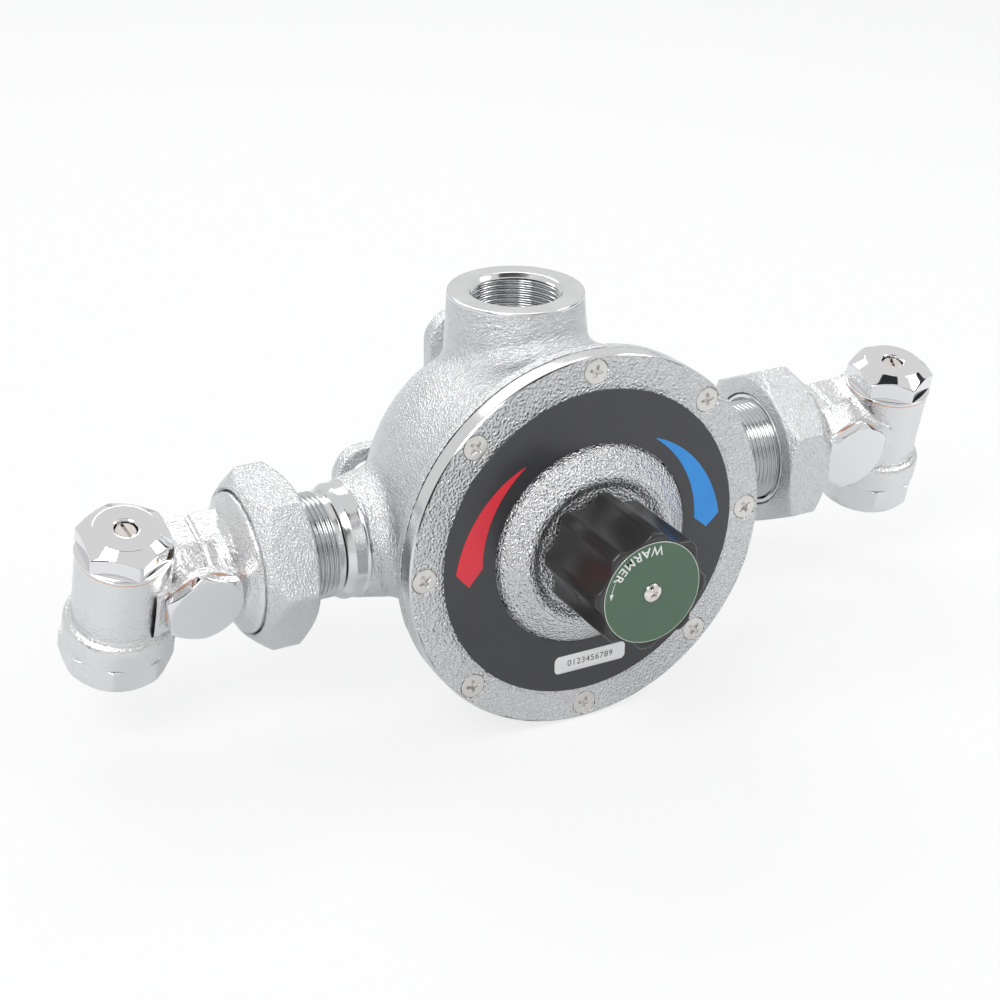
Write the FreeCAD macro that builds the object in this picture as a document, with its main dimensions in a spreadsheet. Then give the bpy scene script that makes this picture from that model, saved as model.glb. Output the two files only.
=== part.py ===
"""Thermostatic mixing valve for a water supply line: one knob, two union stops, one outlet.

Millimetres, Z up.  The origin is where the knob's centre line meets the wall behind the valve.
The knob faces -Y, hot water enters at -X, cold at +X, mixed water leaves at +Z.
Inside this file lengths along Y start at the plane of the two inlets; node() moves each piece
so that the wall becomes Y = 0.
Every size stands once in the sheet "dim"; all objects are bound to it by expressions.
"""
import FreeCAD
import Part
import math
import os
import re
import Sketcher

doc = FreeCAD.newDocument("mixing_valve")
sheet = doc.addObject("Spreadsheet::Sheet", "dim")

SIZES = [
    # cover and its flange joint
    ("face_forward", 70.5, "cover face in front of the inlet plane"),
    ("cover_radius", 87.0, "outer radius of the cover"),
    ("cover_thick", 8.5, "rim thickness of the cover"),
    ("cover_skin", 5.0, "thickness of the cover inside its rim"),
    ("gasket_thick", 0.8, "cover gasket"),
    ("gasket_inset", 0.9, "gasket edge inside the rim"),
    ("flange_thick", 5.0, "flange of the body"),
    ("flange_inset", 0.2, "flange edge inside the cover edge"),
    ("mouth_land", 14.0, "opening of the body inside the screw circle"),
    ("spigot_gap", 0.3, "gap round the cover's locating spigot"),
    ("spigot_long", 3.0, "depth of the locating spigot"),
    ("screw_edge", 7.0, "circle of cover screws inside the cover edge"),
    ("screw_count", 8, "cover screws"),
    ("screw_head", 5.7, "countersunk head radius"),
    ("screw_head_deep", 3.2, "countersunk head depth"),
    ("screw_shank", 2.4, "screw core radius"),
    ("screw_long", 16.5, "screw length"),
    ("screw_clear", 3.0, "clearance hole radius in the cover"),
    ("screw_tap_gap", 0.05, "gap between screw core and tapped hole"),
    # dome in the middle of the cover
    ("dome_foot", 46.6, "radius of the dome's foot"),
    ("crest_radius", 33.8, "radius of the dome's crest"),
    ("crest_rise", 8.9, "crest in front of the cover face"),
    ("dish_radius", 28.6, "radius of the dish floor under the knob"),
    ("dish_rise", 5.6, "dish floor in front of the cover face"),
    ("dial_inner", 46.9, "dial plate inner radius"),
    ("dial_land", 8.6, "dial plate edge inside the screw circle"),
    ("dial_thick", 0.8, "dial plate"),
    # spindle, packing and knob
    ("spindle_radius", 6.0, "spindle"),
    ("spindle_gap", 0.05, "running clearance of the spindle"),
    ("gland_radius", 10.0, "threaded gland neck"),
    ("gland_rise", 8.0, "neck height over the dish floor"),
    ("packing_radius", 8.2, "packing bore"),
    ("packing_deep", 6.0, "packing bore depth"),
    ("guide_radius", 14.0, "spindle guide behind the cover"),
    ("guide_long", 15.5, "guide length behind the cover skin"),
    ("knob_radius", 27.0, "knob over its lobes"),
    ("knob_long", 44.2, "knob length"),
    ("knob_gap", 0.9, "knob above the dish floor"),
    ("knob_hollow", 18.0, "hollow of the knob round the packing nut"),
    ("knob_hollow_deep", 16.0, "depth of that hollow"),
    ("flute_count", 8, "flutes of the knob"),
    ("flute_radius", 14.5, "flute cutter radius"),
    ("flute_deep", 3.4, "flute depth"),
    ("flute_turn", 19.1, "first flute from the cold side"),
    ("disc_radius", 23.4, "label disc"),
    ("disc_thick", 0.6, "label disc thickness"),
    ("knob_screw_head", 4.2, "knob screw head radius"),
    ("knob_screw_core", 2.2, "knob screw core radius"),
    # body casting
    ("bowl_radius", 75.0, "outside of the bowl"),
    ("bowl_forward", 17.0, "bowl centre in front of the inlet plane"),
    ("bowl_wall", 6.0, "bowl wall"),
    ("hub_top", 93.0, "outlet face above the knob axis"),
    ("hub_radius", 30.5, "outlet hub radius at the face"),
    ("hub_foot_radius", 32.0, "outlet hub radius at the bowl"),
    ("outlet_tap", 19.6, "outlet thread bore, 1 1/4 pipe size"),
    ("outlet_deep", 27.0, "outlet thread depth"),
    ("inlet_drop", 10.5, "inlet axis below the knob axis"),
    ("boss_foot", 30.5, "inlet boss radius at the bowl"),
    ("boss_end", 26.8, "inlet boss radius at its end"),
    ("boss_reach", 84.0, "cast boss reaches this far out"),
    ("band_radius", 26.1, "machined band"),
    ("band_reach", 90.5, "machined band ends"),
    ("stub_radius", 24.0, "threaded inlet neck"),
    ("stub_start", 94.0, "threaded neck starts"),
    ("stub_reach", 137.0, "threaded neck ends"),
    ("stub_relief", 1.1, "depth of the thread relief"),
    ("water_radius", 12.0, "waterway of the inlets"),
    ("blend_radius", 9.0, "cast fillets at hub and bosses"),
    ("back_plane", 61.0, "wall plane behind the inlet plane"),
    ("lug_thick", 7.0, "wall lugs"),
    ("lug_radius", 14.5, "wall lug end radius"),
    ("lug_hole", 7.7, "wall lug hole radius"),
    ("lug_top_rise", 49.0, "top lug above the knob axis"),
    ("lug_side_out", 48.0, "side lugs from the middle"),
    ("pad_radius", 34.0, "back pad"),
    # mixing parts inside
    ("sleeve_outer", 21.5, "port sleeve outside"),
    ("sleeve_inner", 18.0, "port sleeve bore"),
    ("sleeve_back", 37.0, "port sleeve reaches back"),
    ("sleeve_front", 20.0, "port sleeve reaches forward"),
    ("tower_wall", 4.0, "wall of the cast tower round the sleeve"),
    ("rotor_gap", 0.04, "running clearance of the port rotor"),
    ("rotor_wall", 3.0, "port rotor wall"),
    ("port_wide", 16.0, "port width along the axis"),
    ("port_high", 15.0, "port height"),
    ("coil_radius", 13.0, "mean radius of the bimetal coil"),
    ("coil_pitch", 5.5, "pitch of the coil"),
    ("coil_long", 23.0, "length of the coil"),
    ("strip_thick", 1.4, "strip thickness"),
    ("strip_wide", 3.2, "strip width"),
    # unions
    ("nut_long", 24.0, "union nut length"),
    ("nut_flats", 71.0, "union nut across flats"),
    ("nut_lip", 6.2, "lip of the union nut"),
    ("lip_gap", 0.5, "gap between lip and tailpiece"),
    ("tail_radius", 26.9, "tailpiece neck"),
    ("tail_flange", 30.6, "tailpiece flange"),
    ("tail_long", 12.5, "tailpiece length"),
    ("thread_gap", 0.05, "gap of the thread cores"),
    ("washer_thick", 1.2, "union washer"),
    ("collar_radius", 31.3, "threaded collar of the stop"),
    ("collar_gap", 0.5, "gap between collar core and union nut"),
    ("left_stop_out", 188.5, "left stop from the middle"),
    ("right_stop_out", 207.4, "right stop from the middle"),
    ("left_tilt", 18.6, "left stop turned toward the front"),
    ("right_tilt", 12.0, "right stop turned toward the front"),
    ("left_nut_turn", 3.0, "left nut turned"),
    ("right_nut_turn", 33.0, "right nut turned"),
    ("nut_stand", 53.0, "nut face from the stop's axis"),
    # stops
    ("barrel_radius", 20.4, "stop barrel"),
    ("barrel_top", 21.4, "barrel top above the union axis"),
    ("ledge_down", 15.0, "ledge below the union axis"),
    ("ledge_radius", 23.8, "ledge radius"),
    ("base_down", 41.5, "inlet face below the union axis"),
    ("base_flats", 46.0, "eight flats of the inlet end, across"),
    ("base_flats_high", 14.5, "height of the flats"),
    ("inlet_tap", 15.4, "inlet thread bore, 1 inch pipe size"),
    ("inlet_deep", 19.0, "inlet thread depth"),
    ("seat_down", 14.0, "seat below the union axis"),
    ("seat_radius", 11.5, "seat opening"),
    ("chamber_radius", 15.5, "barrel chamber"),
    ("cap_thread", 17.2, "cap thread"),
    ("cap_skirt", 9.0, "cap skirt length"),
    ("cap_flange", 20.9, "round flange of the cap"),
    ("cap_flange_thick", 1.1, "that flange"),
    ("cap_flats", 36.4, "cap across flats"),
    ("cap_high", 13.2, "cap height over its washer"),
    ("cap_crown", 13.7, "flat crown radius of the cap"),
    ("cap_chamfer", 5.2, "cap chamfer height"),
    ("washer_flat", 0.7, "flat washers of cap and plug"),
    ("stem_radius", 4.6, "slotted stem"),
    ("stem_gap", 0.05, "running clearance of the stem"),
    ("stem_hole", 5.1, "open hole over the stem"),
    ("stem_recess", 1.2, "stem end below the cap crown"),
    ("stem_screw", 4.0, "threaded end of the stem"),
    ("disc_stop_radius", 13.8, "stop disc"),
    ("stop_disc_thick", 2.8, "stop disc under the stem's end"),
    ("disc_lift", 6.0, "stop disc above its seat when open"),
    ("disc_neck", 7.4, "threaded neck of the stop disc"),
    ("disc_neck_long", 12.0, "top of that neck above the disc's face"),
    ("disc_thread_gap", 0.3, "room for the thread between stem and disc"),
    ("arm_bore", 9.0, "waterway from the stop's chamber to the check"),
    ("arm_half", 18.0, "half height of the arm"),
    ("plug_out", 30.0, "plug axis from the stop's axis"),
    ("plug_flats", 33.6, "plug across flats"),
    ("plug_high", 4.4, "plug head height"),
    ("plug_thread", 13.2, "plug thread"),
    ("screen_bore", 10.4, "strainer bore"),
    ("screen_radius", 9.8, "strainer screen"),
    ("check_seat", 41.0, "check seat from the stop's axis"),
    ("check_bore", 12.9, "check bore"),
    ("check_disc", 11.8, "check poppet"),
    ("check_lift", 3.0, "check opening travel"),
]

WORDS = {"sqrt", "sin", "cos", "tan", "abs", "vector", "rotation", "placement", "min", "max"}


def ex(text):
    """Turn plain size names into references to the sheet."""
    text = str(text)
    return re.sub(r"[a-z_]{3,}", lambda m: m[0] if m[0] in WORDS else "dim." + m[0], text)


def number(text):
    """Present value of an expression in millimetres or degrees."""
    found = sheet.evalExpression(ex(text))
    return float(getattr(found, "Value", found))


def fill_sheet():
    for row, (name, value, meaning) in enumerate(SIZES, start=1):
        sheet.set(f"A{row}", meaning)
        sheet.set(f"B{row}", str(value))
        sheet.setAlias(f"B{row}", name)
    doc.recompute()


TURN = {
    "z": "rotation(vector(0;0;1);0)",
    "-z": "rotation(vector(1;0;0);180)",
    "x": "rotation(vector(0;1;0);90)",
    "-x": "rotation(vector(1;0;-1);180)",
    "y": "rotation(vector(1;0;0);-90)",
    "-y": "rotation(vector(1;0;0);90)",
}


def put(obj, at=(0, 0, 0), way="z", frame=None, spin=0):
    """Bind the object's placement: frame, then place, direction of local Z, then spin about it."""
    here = f"placement(vector({at[0]};{at[1]};{at[2]}); {TURN[way]})"
    turned_on = f"placement(vector(0;0;0); rotation(vector(0;0;1);{spin}))"
    text = f"{here} * {turned_on}"
    if frame:
        text = f"{frame} * {text}"
    obj.setExpression("Placement", ex(text))
    return obj


def made(kind, at, way, frame, spin, **sizes):
    obj = doc.addObject(kind, kind.split("::")[1].lower())
    for prop, text in sizes.items():
        obj.setExpression(prop, ex(text))
    return put(obj, at, way, frame, spin)


def rod(radius, long, at=(0, 0, 0), way="z", frame=None):
    return made("Part::Cylinder", at, way, frame, 0, Radius=radius, Height=long)


def taper(first, second, long, at=(0, 0, 0), way="z", frame=None):
    return made("Part::Cone", at, way, frame, 0, Radius1=first, Radius2=second, Height=long)


def dome(radius, at, way):
    """Half ball whose flat side faces away from the given direction."""
    obj = made("Part::Sphere", at, way, None, 0, Radius=radius)
    obj.Angle1 = 0
    return obj


def block(size, at=(0, 0, 0), way="z", frame=None, spin=0):
    """Box of size x, y, z whose corner nearest the origin is at the given place."""
    return made("Part::Box", at, way, frame, spin, Length=size[0], Width=size[1], Height=size[2])


def bar(sides, flats, long, at=(0, 0, 0), way="z", frame=None, spin=0):
    """Regular prism by its size across flats."""
    obj = made("Part::Prism", at, way, frame, spin, Height=long)
    obj.Polygon = sides
    obj.setExpression("Circumradius", ex(f"({flats}) / 2 / cos(180 / {sides})"))
    return obj


def fuse(parts):
    obj = doc.addObject("Part::MultiFuse", "fuse")
    obj.Shapes = parts
    obj.Refine = True
    return obj


def cut(base, tools):
    """Take the tools away one after another."""
    for tool in tools:
        obj = doc.addObject("Part::Cut", "cut")
        obj.Base, obj.Tool = base, tool
        base = obj
    return base


def both(first, second):
    obj = doc.addObject("Part::Common", "common")
    obj.Base, obj.Tool = first, second
    return obj


def turned(points, at=(0, 0, 0), way="z", frame=None):
    """Body turned about its local Z from a closed profile of (radius, height) points."""
    body = doc.addObject("PartDesign::Body", "turned")
    plane = next(f for f in body.Origin.OriginFeatures if f.Role == "XZ_Plane")
    sketch = body.newObject("Sketcher::SketchObject", "profile")
    sketch.AttachmentSupport = (plane, [""])
    sketch.MapMode = "FlatFace"
    spots = [FreeCAD.Vector(number(r), number(h), 0) for r, h in points]
    count = len(points)
    for i in range(count):
        sketch.addGeometry(Part.LineSegment(spots[i], spots[(i + 1) % count]), False)
    for i in range(count):
        sketch.addConstraint(Sketcher.Constraint("Coincident", i, 2, (i + 1) % count, 1))
    for i, pair in enumerate(points):
        for kind, text, now in zip(("DistanceX", "DistanceY"), pair, (spots[i].x, spots[i].y)):
            if abs(now) < 1e-9:
                axis = -2 if kind == "DistanceX" else -1
                sketch.addConstraint(Sketcher.Constraint("PointOnObject", i, 1, axis))
                continue
            which = sketch.addConstraint(Sketcher.Constraint(kind, -1, 1, i, 1, now))
            sketch.setExpression(f"Constraints[{which}]", ex(text))
    revolve = body.newObject("PartDesign::Revolution", "revolve")
    revolve.Profile = sketch
    revolve.ReferenceAxis = (sketch, ["V_Axis"])
    revolve.Angle = 360
    body.Tip = revolve
    return put(body, at, way, frame)


def wound(pitch, high, radius, thick, wide, at, way, frame=None):
    """Helix of flat strip: thick across the radius, wide along the axis."""
    line = doc.addObject("Part::Helix", "line")
    for prop, text in (("Pitch", pitch), ("Height", high), ("Radius", radius)):
        line.setExpression(prop, ex(text))
    strip = doc.addObject("Part::Plane", "strip")
    strip.setExpression("Length", ex(thick))
    strip.setExpression("Width", ex(wide))
    put(strip, (f"{radius} - ({thick}) / 2", "0", f"-({wide}) / 2"), "-y")
    doc.recompute()
    coil = doc.addObject("Part::Sweep", "coil")
    coil.Sections = [strip]
    coil.Spine = (line, ["Edge1"])
    coil.Solid = True
    coil.Frenet = True
    return put(coil, at, way, frame)


NODES = []


def node(name, obj, frame=None):
    """Keep the object as one piece of the assembly, moved so that the wall plane is Y = 0."""
    own = dict(obj.ExpressionEngine).get("Placement")
    parts = ["placement(vector(0; -dim.back_plane; 0); rotation(vector(0;0;1);0))"]
    if frame:
        parts.append(ex(frame))
    if own:
        parts.append(own)
    obj.setExpression("Placement", " * ".join(parts))
    obj.Label = name
    NODES.append(obj)
    return obj


def ring_places(radius, count, first="0"):
    """Expression pairs for points evenly spread on a circle round the knob axis."""
    turns = [f"({first} + {i} * 360 / {count})" for i in range(count)]
    return [(f"({radius}) * cos({turn})", f"({radius}) * sin({turn})") for turn in turns]


def cross_slot(wide, long, deep, at, way, spin=0):
    """Two crossed bars that cut a Phillips recess."""
    bars = []
    for more in (0, 90):
        one = block((long, wide, deep), way="z")
        put(one, at, way, None, spin + more)
        shift = f"placement(vector(-({long}) / 2; -({wide}) / 2; 0); rotation(vector(0;0;1);0))"
        here = f"placement(vector({at[0]};{at[1]};{at[2]}); {TURN[way]})"
        spun = f"placement(vector(0;0;0); rotation(vector(0;0;1);{spin + more}))"
        one.setExpression("Placement", ex(f"{here} * {spun} * {shift}"))
        bars.append(one)
    return bars


fill_sheet()

# ---------------------------------------------------------------- heights along the knob axis
FACE = "(-face_forward)"
SCREW_CIRCLE = "(cover_radius - screw_edge)"
MOUTH = f"({SCREW_CIRCLE} - mouth_land)"
DIAL_OUTER = f"({SCREW_CIRCLE} - dial_land)"
SLOT_TURNS = (31, 98, 75, 52, 119, 96, 73, 50)  # degrees each driven screw is left at
COVER_BACK = "(-face_forward + cover_thick)"
FLANGE_FACE = "(-face_forward + cover_thick + gasket_thick)"
FLANGE_BACK = "(-face_forward + cover_thick + gasket_thick + flange_thick)"
DISH = "(-face_forward - dish_rise)"
KNOB_BACK = "(-face_forward - dish_rise - knob_gap)"
KNOB_FRONT = "(-face_forward - dish_rise - knob_gap - knob_long)"
GLAND_TOP = "(-face_forward - dish_rise - gland_rise)"
GUIDE_END = "(-face_forward + cover_skin + guide_long)"


# ---------------------------------------------------------------- body casting
def inlet_boss(way):
    """Cast boss, machined band, thread relief and long threaded neck of one inlet."""
    profile = [
        ("0", "35"), ("boss_foot", "35"), ("boss_end", "boss_reach"),
        ("band_radius", "boss_reach + 0.5"), ("band_radius", "band_reach"),
        ("stub_radius - stub_relief", "stub_start - 0.3"),
        ("stub_radius - stub_relief", "stub_start + 2.4"),
        ("stub_radius", "stub_start + 3.5"), ("stub_radius", "stub_reach - 1"),
        ("stub_radius - 1", "stub_reach"), ("0", "stub_reach"),
    ]
    return turned(profile, ("0", "0", "-inlet_drop"), way)


def wall_lugs():
    """Back pad and three ears with round ends in the wall plane."""
    front = "back_plane - lug_thick"
    parts = [rod("pad_radius", "back_plane - 38", ("0", "38", "0"), "y")]
    parts.append(rod("lug_radius", "lug_thick", ("0", front, "lug_top_rise"), "y"))
    parts.append(block(("2 * lug_radius", "lug_thick", "lug_top_rise"), ("-lug_radius", front, "0")))
    parts.append(block(("2 * lug_side_out", "lug_thick", "2 * lug_radius"),
                       ("-lug_side_out", front, "-inlet_drop - lug_radius")))
    for side in ("-", ""):
        parts.append(rod("lug_radius", "lug_thick", (f"{side}lug_side_out", front, "-inlet_drop"), "y"))
    return parts


def blended(obj, radius, wanted):
    """Cast fillet on the edges that the test picks."""
    doc.recompute()
    picks = [i for i, edge in enumerate(obj.Shape.Edges, start=1) if wanted(edge)]
    fillet = doc.addObject("Part::Fillet", "blend")
    fillet.Base = obj
    fillet.Edges = [(i, number(radius), number(radius)) for i in picks]
    return fillet


def is_blend_edge(edge):
    """Edges where the hub and the bosses leave the bowl, told by their place and reach."""
    box = edge.BoundBox
    hub = box.ZMin > 45 and box.ZMax < 75 and box.YLength > 40
    boss = abs(box.Center.x) > 50 and abs(box.Center.x) < 75 and box.ZLength > 40 and box.YLength > 30
    return hub or boss


def body_casting():
    centre = ("0", "-bowl_forward", "0")
    drum_long = f"-{FLANGE_BACK} - bowl_forward"
    outside = [
        dome("bowl_radius", centre, "y"),
        rod("bowl_radius", drum_long, centre, "-y"),
        taper("bowl_radius + 1.5", "cover_radius - 1.5", "12",
              ("0", f"{FLANGE_BACK} + 12", "0"), "-y"),
        rod("cover_radius - flange_inset", "flange_thick", ("0", FLANGE_BACK, "0"), "-y"),
        taper("hub_foot_radius", "hub_radius", "hub_top - 30", ("0", "0", "30"), "z"),
        inlet_boss("-x"), inlet_boss("x"),
    ]
    shell = blended(fuse(outside), "blend_radius", is_blend_edge)
    solid = fuse([shell] + wall_lugs())
    hollow = [
        dome("bowl_radius - bowl_wall", centre, "y"),
        rod(MOUTH, f"-{FLANGE_FACE} - bowl_forward", centre, "-y"),
        rod("outlet_tap - 2.2", "hub_top - 40", ("0", "0", "40"), "z"),
        rod("outlet_tap", "outlet_deep", ("0", "0", "hub_top - outlet_deep"), "z"),
        taper("outlet_tap", "outlet_tap + 1.6", "1.6", ("0", "0", "hub_top - 1.6"), "z"),
    ]
    cavity = cut(solid, hollow)
    tower = [
        rod("sleeve_outer + tower_wall", "sleeve_front + 50", ("0", "-sleeve_front", "0"), "y"),
        rod("water_radius + tower_wall", "2 * 70", ("-70", "0", "-inlet_drop"), "x"),
    ]
    tools = [
        rod("sleeve_outer + 0.02", "sleeve_front + sleeve_back", ("0", "-sleeve_front", "0"), "y"),
        rod("water_radius", "2 * stub_reach", ("-stub_reach", "0", "-inlet_drop"), "x"),
        rod("lug_hole", "lug_thick", ("0", "back_plane - lug_thick", "lug_top_rise"), "y"),
        rod("lug_hole", "lug_thick", ("-lug_side_out", "back_plane - lug_thick", "-inlet_drop"), "y"),
        rod("lug_hole", "lug_thick", ("lug_side_out", "back_plane - lug_thick", "-inlet_drop"), "y"),
    ]
    deep = "screw_long - cover_thick - gasket_thick + 0.8"
    for x, z in ring_places(SCREW_CIRCLE, int(number("screw_count"))):
        tools.append(rod("screw_shank + screw_tap_gap", deep, (x, FLANGE_FACE, z), "y"))
    whole = fuse([cavity] + tower)
    node("body", cut(whole, tools))


# ---------------------------------------------------------------- cover, gasket, dial, screws
def cover_parts():
    """Profile heights are measured forward from the back of the cover rim."""
    skin = "cover_thick - cover_skin"
    dish = "cover_thick + dish_rise"
    profile = [
        ("spindle_radius + spindle_gap", f"{skin} - guide_long"),
        ("guide_radius", f"{skin} - guide_long"), ("guide_radius", skin),
        (f"{MOUTH} - 8", skin), (f"{MOUTH} - 8", "-spigot_long"),
        (f"{MOUTH} - spigot_gap", "-spigot_long"), (f"{MOUTH} - spigot_gap", "0"),
        ("cover_radius - 0.4", "0"), ("cover_radius", "0.4"), ("cover_radius", "cover_thick - 0.5"),
        ("cover_radius - 0.5", "cover_thick"), ("dome_foot", "cover_thick"),
        ("dome_foot - 0.3", "cover_thick + 2.0"), ("dome_foot - 1.2", "cover_thick + 3.4"),
        ("dome_foot - 2.8", "cover_thick + 4.4"), ("crest_radius + 2.2", "cover_thick + crest_rise - 0.4"),
        ("crest_radius + 0.6", "cover_thick + crest_rise"),
        ("crest_radius - 0.6", "cover_thick + crest_rise - 0.1"), ("dish_radius", dish),
        ("gland_radius", dish), ("gland_radius", f"{dish} + gland_rise"),
        ("packing_radius", f"{dish} + gland_rise"),
        ("packing_radius", f"{dish} + gland_rise - packing_deep"),
        ("spindle_radius + spindle_gap", f"{dish} + gland_rise - packing_deep"),
    ]
    blank = turned(profile, ("0", COVER_BACK, "0"), "-y")
    places = ring_places(SCREW_CIRCLE, int(number("screw_count")))
    holes = []
    screws = []
    rings = []
    for i, (x, z) in enumerate(places):
        holes.append(rod("screw_clear", "cover_thick", (x, COVER_BACK, z), "-y"))
        holes.append(taper("screw_clear", "screw_head + 0.25", "screw_head_deep",
                           (x, f"{FACE} + screw_head_deep", z), "-y"))
        rings.append(rod("screw_clear + 0.4", "gasket_thick", (x, FLANGE_FACE, z), "-y"))
        head = taper("screw_shank + 0.3", "screw_head", "screw_head_deep - 0.3",
                     (x, f"{FACE} + screw_head_deep - 0.3", z), "-y")
        shank = rod("screw_shank", "screw_long", (x, f"{FACE} + screw_long", z), "-y")
        slot = cross_slot("1.1", "5.4", "2.2", (x, f"{FACE} + 2.1", z), "-y", SLOT_TURNS[i])
        screws.append(cut(fuse([head, shank]), slot))
    node("cover", cut(blank, holes))
    flat = cut(rod("cover_radius - gasket_inset", "gasket_thick", ("0", FLANGE_FACE, "0"), "-y"),
               [rod(MOUTH, "gasket_thick", ("0", FLANGE_FACE, "0"), "-y")] + rings)
    node("cover_gasket", flat)
    group = doc.addObject("Part::Compound", "screws")
    group.Links = screws
    node("cover_screws", group)
    node("dial_plate", cut(rod(DIAL_OUTER, "dial_thick", ("0", FACE, "0"), "-y"),
                           [rod("dial_inner", "dial_thick", ("0", FACE, "0"), "-y")]))


# ---------------------------------------------------------------- knob and spindle
def knob_parts():
    blank = turned([
        ("knob_hollow", "0"), ("knob_radius - 0.6", "0"), ("knob_radius", "0.8"),
        ("knob_radius", "knob_long - 1.6"), ("knob_radius - 0.5", "knob_long - 0.5"),
        ("knob_radius - 1.6", "knob_long"), ("disc_radius + 0.3", "knob_long"),
        ("disc_radius + 0.3", "knob_long - disc_thick"),
        ("knob_screw_core + 0.3", "knob_long - disc_thick"),
        ("knob_screw_core + 0.3", "knob_long - 7"), ("spindle_radius + 0.02", "knob_long - 7"),
        ("spindle_radius + 0.02", "knob_hollow_deep"), ("knob_hollow", "knob_hollow_deep"),
    ], ("0", KNOB_BACK, "0"), "-y")
    far = "knob_radius + flute_radius - flute_deep"
    tools = [rod("flute_radius", "knob_long + 2", (x, f"{KNOB_BACK} + 1", z), "-y")
             for x, z in ring_places(far, int(number("flute_count")), "flute_turn")]
    set_turn = "placement(vector(0;0;0); rotation(vector(0;1;0);-flute_turn))"
    set_place = ("-knob_radius", f"{KNOB_BACK} - knob_hollow_deep - 5", "0")
    tools.append(rod("2", "knob_radius", set_place, "x", set_turn))
    node("knob", cut(blank, tools))
    plug = rod("1.95", "knob_radius - flute_deep - spindle_radius - 2",
               ("-knob_radius + flute_deep + 1.6", set_place[1], "0"), "x", set_turn)
    socket = bar(6, "2.0", "3", ("-knob_radius + flute_deep + 1.5", set_place[1], "0"), "x", set_turn)
    node("knob_set_screw", cut(plug, [socket]))
    disc = rod("disc_radius", "disc_thick", ("0", f"{KNOB_FRONT} + disc_thick", "0"), "-y")
    hole = rod("knob_screw_core + 0.3", "disc_thick", ("0", f"{KNOB_FRONT} + disc_thick", "0"), "-y")
    node("knob_disc", cut(disc, [hole]))
    screw = turned([
        ("0", "-14"), ("knob_screw_core", "-14"), ("knob_screw_core", "0"), ("knob_screw_head", "0"),
        ("knob_screw_head", "0.9"), ("knob_screw_head - 0.7", "1.9"),
        ("knob_screw_head - 2", "2.6"), ("0", "2.9"),
    ], ("0", KNOB_FRONT, "0"), "-y")
    slot = cross_slot("0.9", "4.6", "2.2", ("0", f"{KNOB_FRONT} - 0.9", "0"), "-y", 20)
    node("knob_screw", cut(screw, slot))
    gap = "0.4"
    spindle = turned([
        ("0", "0"), ("coil_radius + 3", "0"), ("coil_radius + 3", "3.5"),
        ("9", "4.6"), ("9", f"-({GUIDE_END}) - {SHAFT_BACK} - {gap}"),
        ("spindle_radius", f"-({GUIDE_END}) - {SHAFT_BACK} - {gap}"),
        ("spindle_radius", f"-({KNOB_FRONT}) - 7.4 - {SHAFT_BACK}"),
        ("knob_screw_core + 0.05", f"-({KNOB_FRONT}) - 7.4 - {SHAFT_BACK}"),
        ("knob_screw_core + 0.05", f"-({KNOB_FRONT}) - 19 - {SHAFT_BACK}"),
        ("0", f"-({KNOB_FRONT}) - 19 - {SHAFT_BACK}"),
    ], ("0", f"-({SHAFT_BACK})", "0"), "-y")
    node("spindle", spindle)


SHAFT_BACK = "(sleeve_front + coil_long + 1.2)"


def packing_parts():
    top = f"-({GLAND_TOP})"
    ring = cut(rod("packing_radius - 0.1", "packing_deep - 1.4", ("0", f"{GLAND_TOP} + packing_deep", "0"), "-y"),
               [rod("spindle_radius + 0.35", "packing_deep", ("0", f"{GLAND_TOP} + packing_deep", "0"), "-y")])
    node("spindle_packing", ring)
    start = f"{GLAND_TOP} + gland_rise - 1.2"
    hexed = both(bar(6, "26", "gland_rise + 2.2", ("0", start, "0"), "-y"),
                 turned([("0", "0"), ("14", "0"), ("15.2", "1"), ("15.2", "gland_rise + 0.6"),
                         ("13", "gland_rise + 2.2"), ("0", "gland_rise + 2.2")], ("0", start, "0"), "-y"))
    bore = [rod("gland_radius + thread_gap", "gland_rise - 1.2", ("0", start, "0"), "-y"),
            rod("spindle_radius + 0.4", "gland_rise + 4", ("0", start, "0"), "-y"),
            rod("packing_radius + 0.2", "gland_rise - 0.9", ("0", start, "0"), "-y")]
    node("packing_nut", cut(hexed, bore))


# ---------------------------------------------------------------- port sleeve, rotor, bimetal coil
def mixing_parts():
    long = "sleeve_front + sleeve_back"
    front = ("0", "-sleeve_front", "0")
    window = block(("2 * sleeve_outer + 2", "port_wide", "port_high"),
                   ("-sleeve_outer - 1", "-port_wide / 2", "-inlet_drop - port_high / 2"))
    node("port_sleeve", cut(rod("sleeve_outer", long, front, "y"),
                            [rod("sleeve_inner", long, front, "y"), window]))
    outer = "sleeve_inner - rotor_gap"
    inner = "sleeve_inner - rotor_gap - rotor_wall"
    hot = block(("sleeve_outer + 1", "port_wide", "port_high"),
                ("-sleeve_outer - 1", "-port_wide / 2", "-inlet_drop - port_high / 2 + 5"))
    cold = block(("sleeve_outer + 1", "port_wide", "port_high"),
                 ("0", "-port_wide / 2", "-inlet_drop - port_high / 2 - 5"))
    blank = turned([("0", "sleeve_front + sleeve_back - 4"), ("0", "sleeve_front + sleeve_back - 1"),
                    (outer, "sleeve_front + sleeve_back - 1"), (outer, "0.5"),
                    ("coil_radius - 2", "0.5"), ("coil_radius - 2", "3"), (inner, "3"),
                    (inner, "sleeve_front + sleeve_back - 4")], front, "y")
    node("port_rotor", cut(blank, [hot, cold]))
    coil = wound("coil_pitch", "coil_long - strip_wide", "coil_radius", "strip_thick", "strip_wide",
                 ("0", "-sleeve_front + 0.5 - strip_wide / 2", "0"), "-y")
    node("bimetal_coil", coil)


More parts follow.
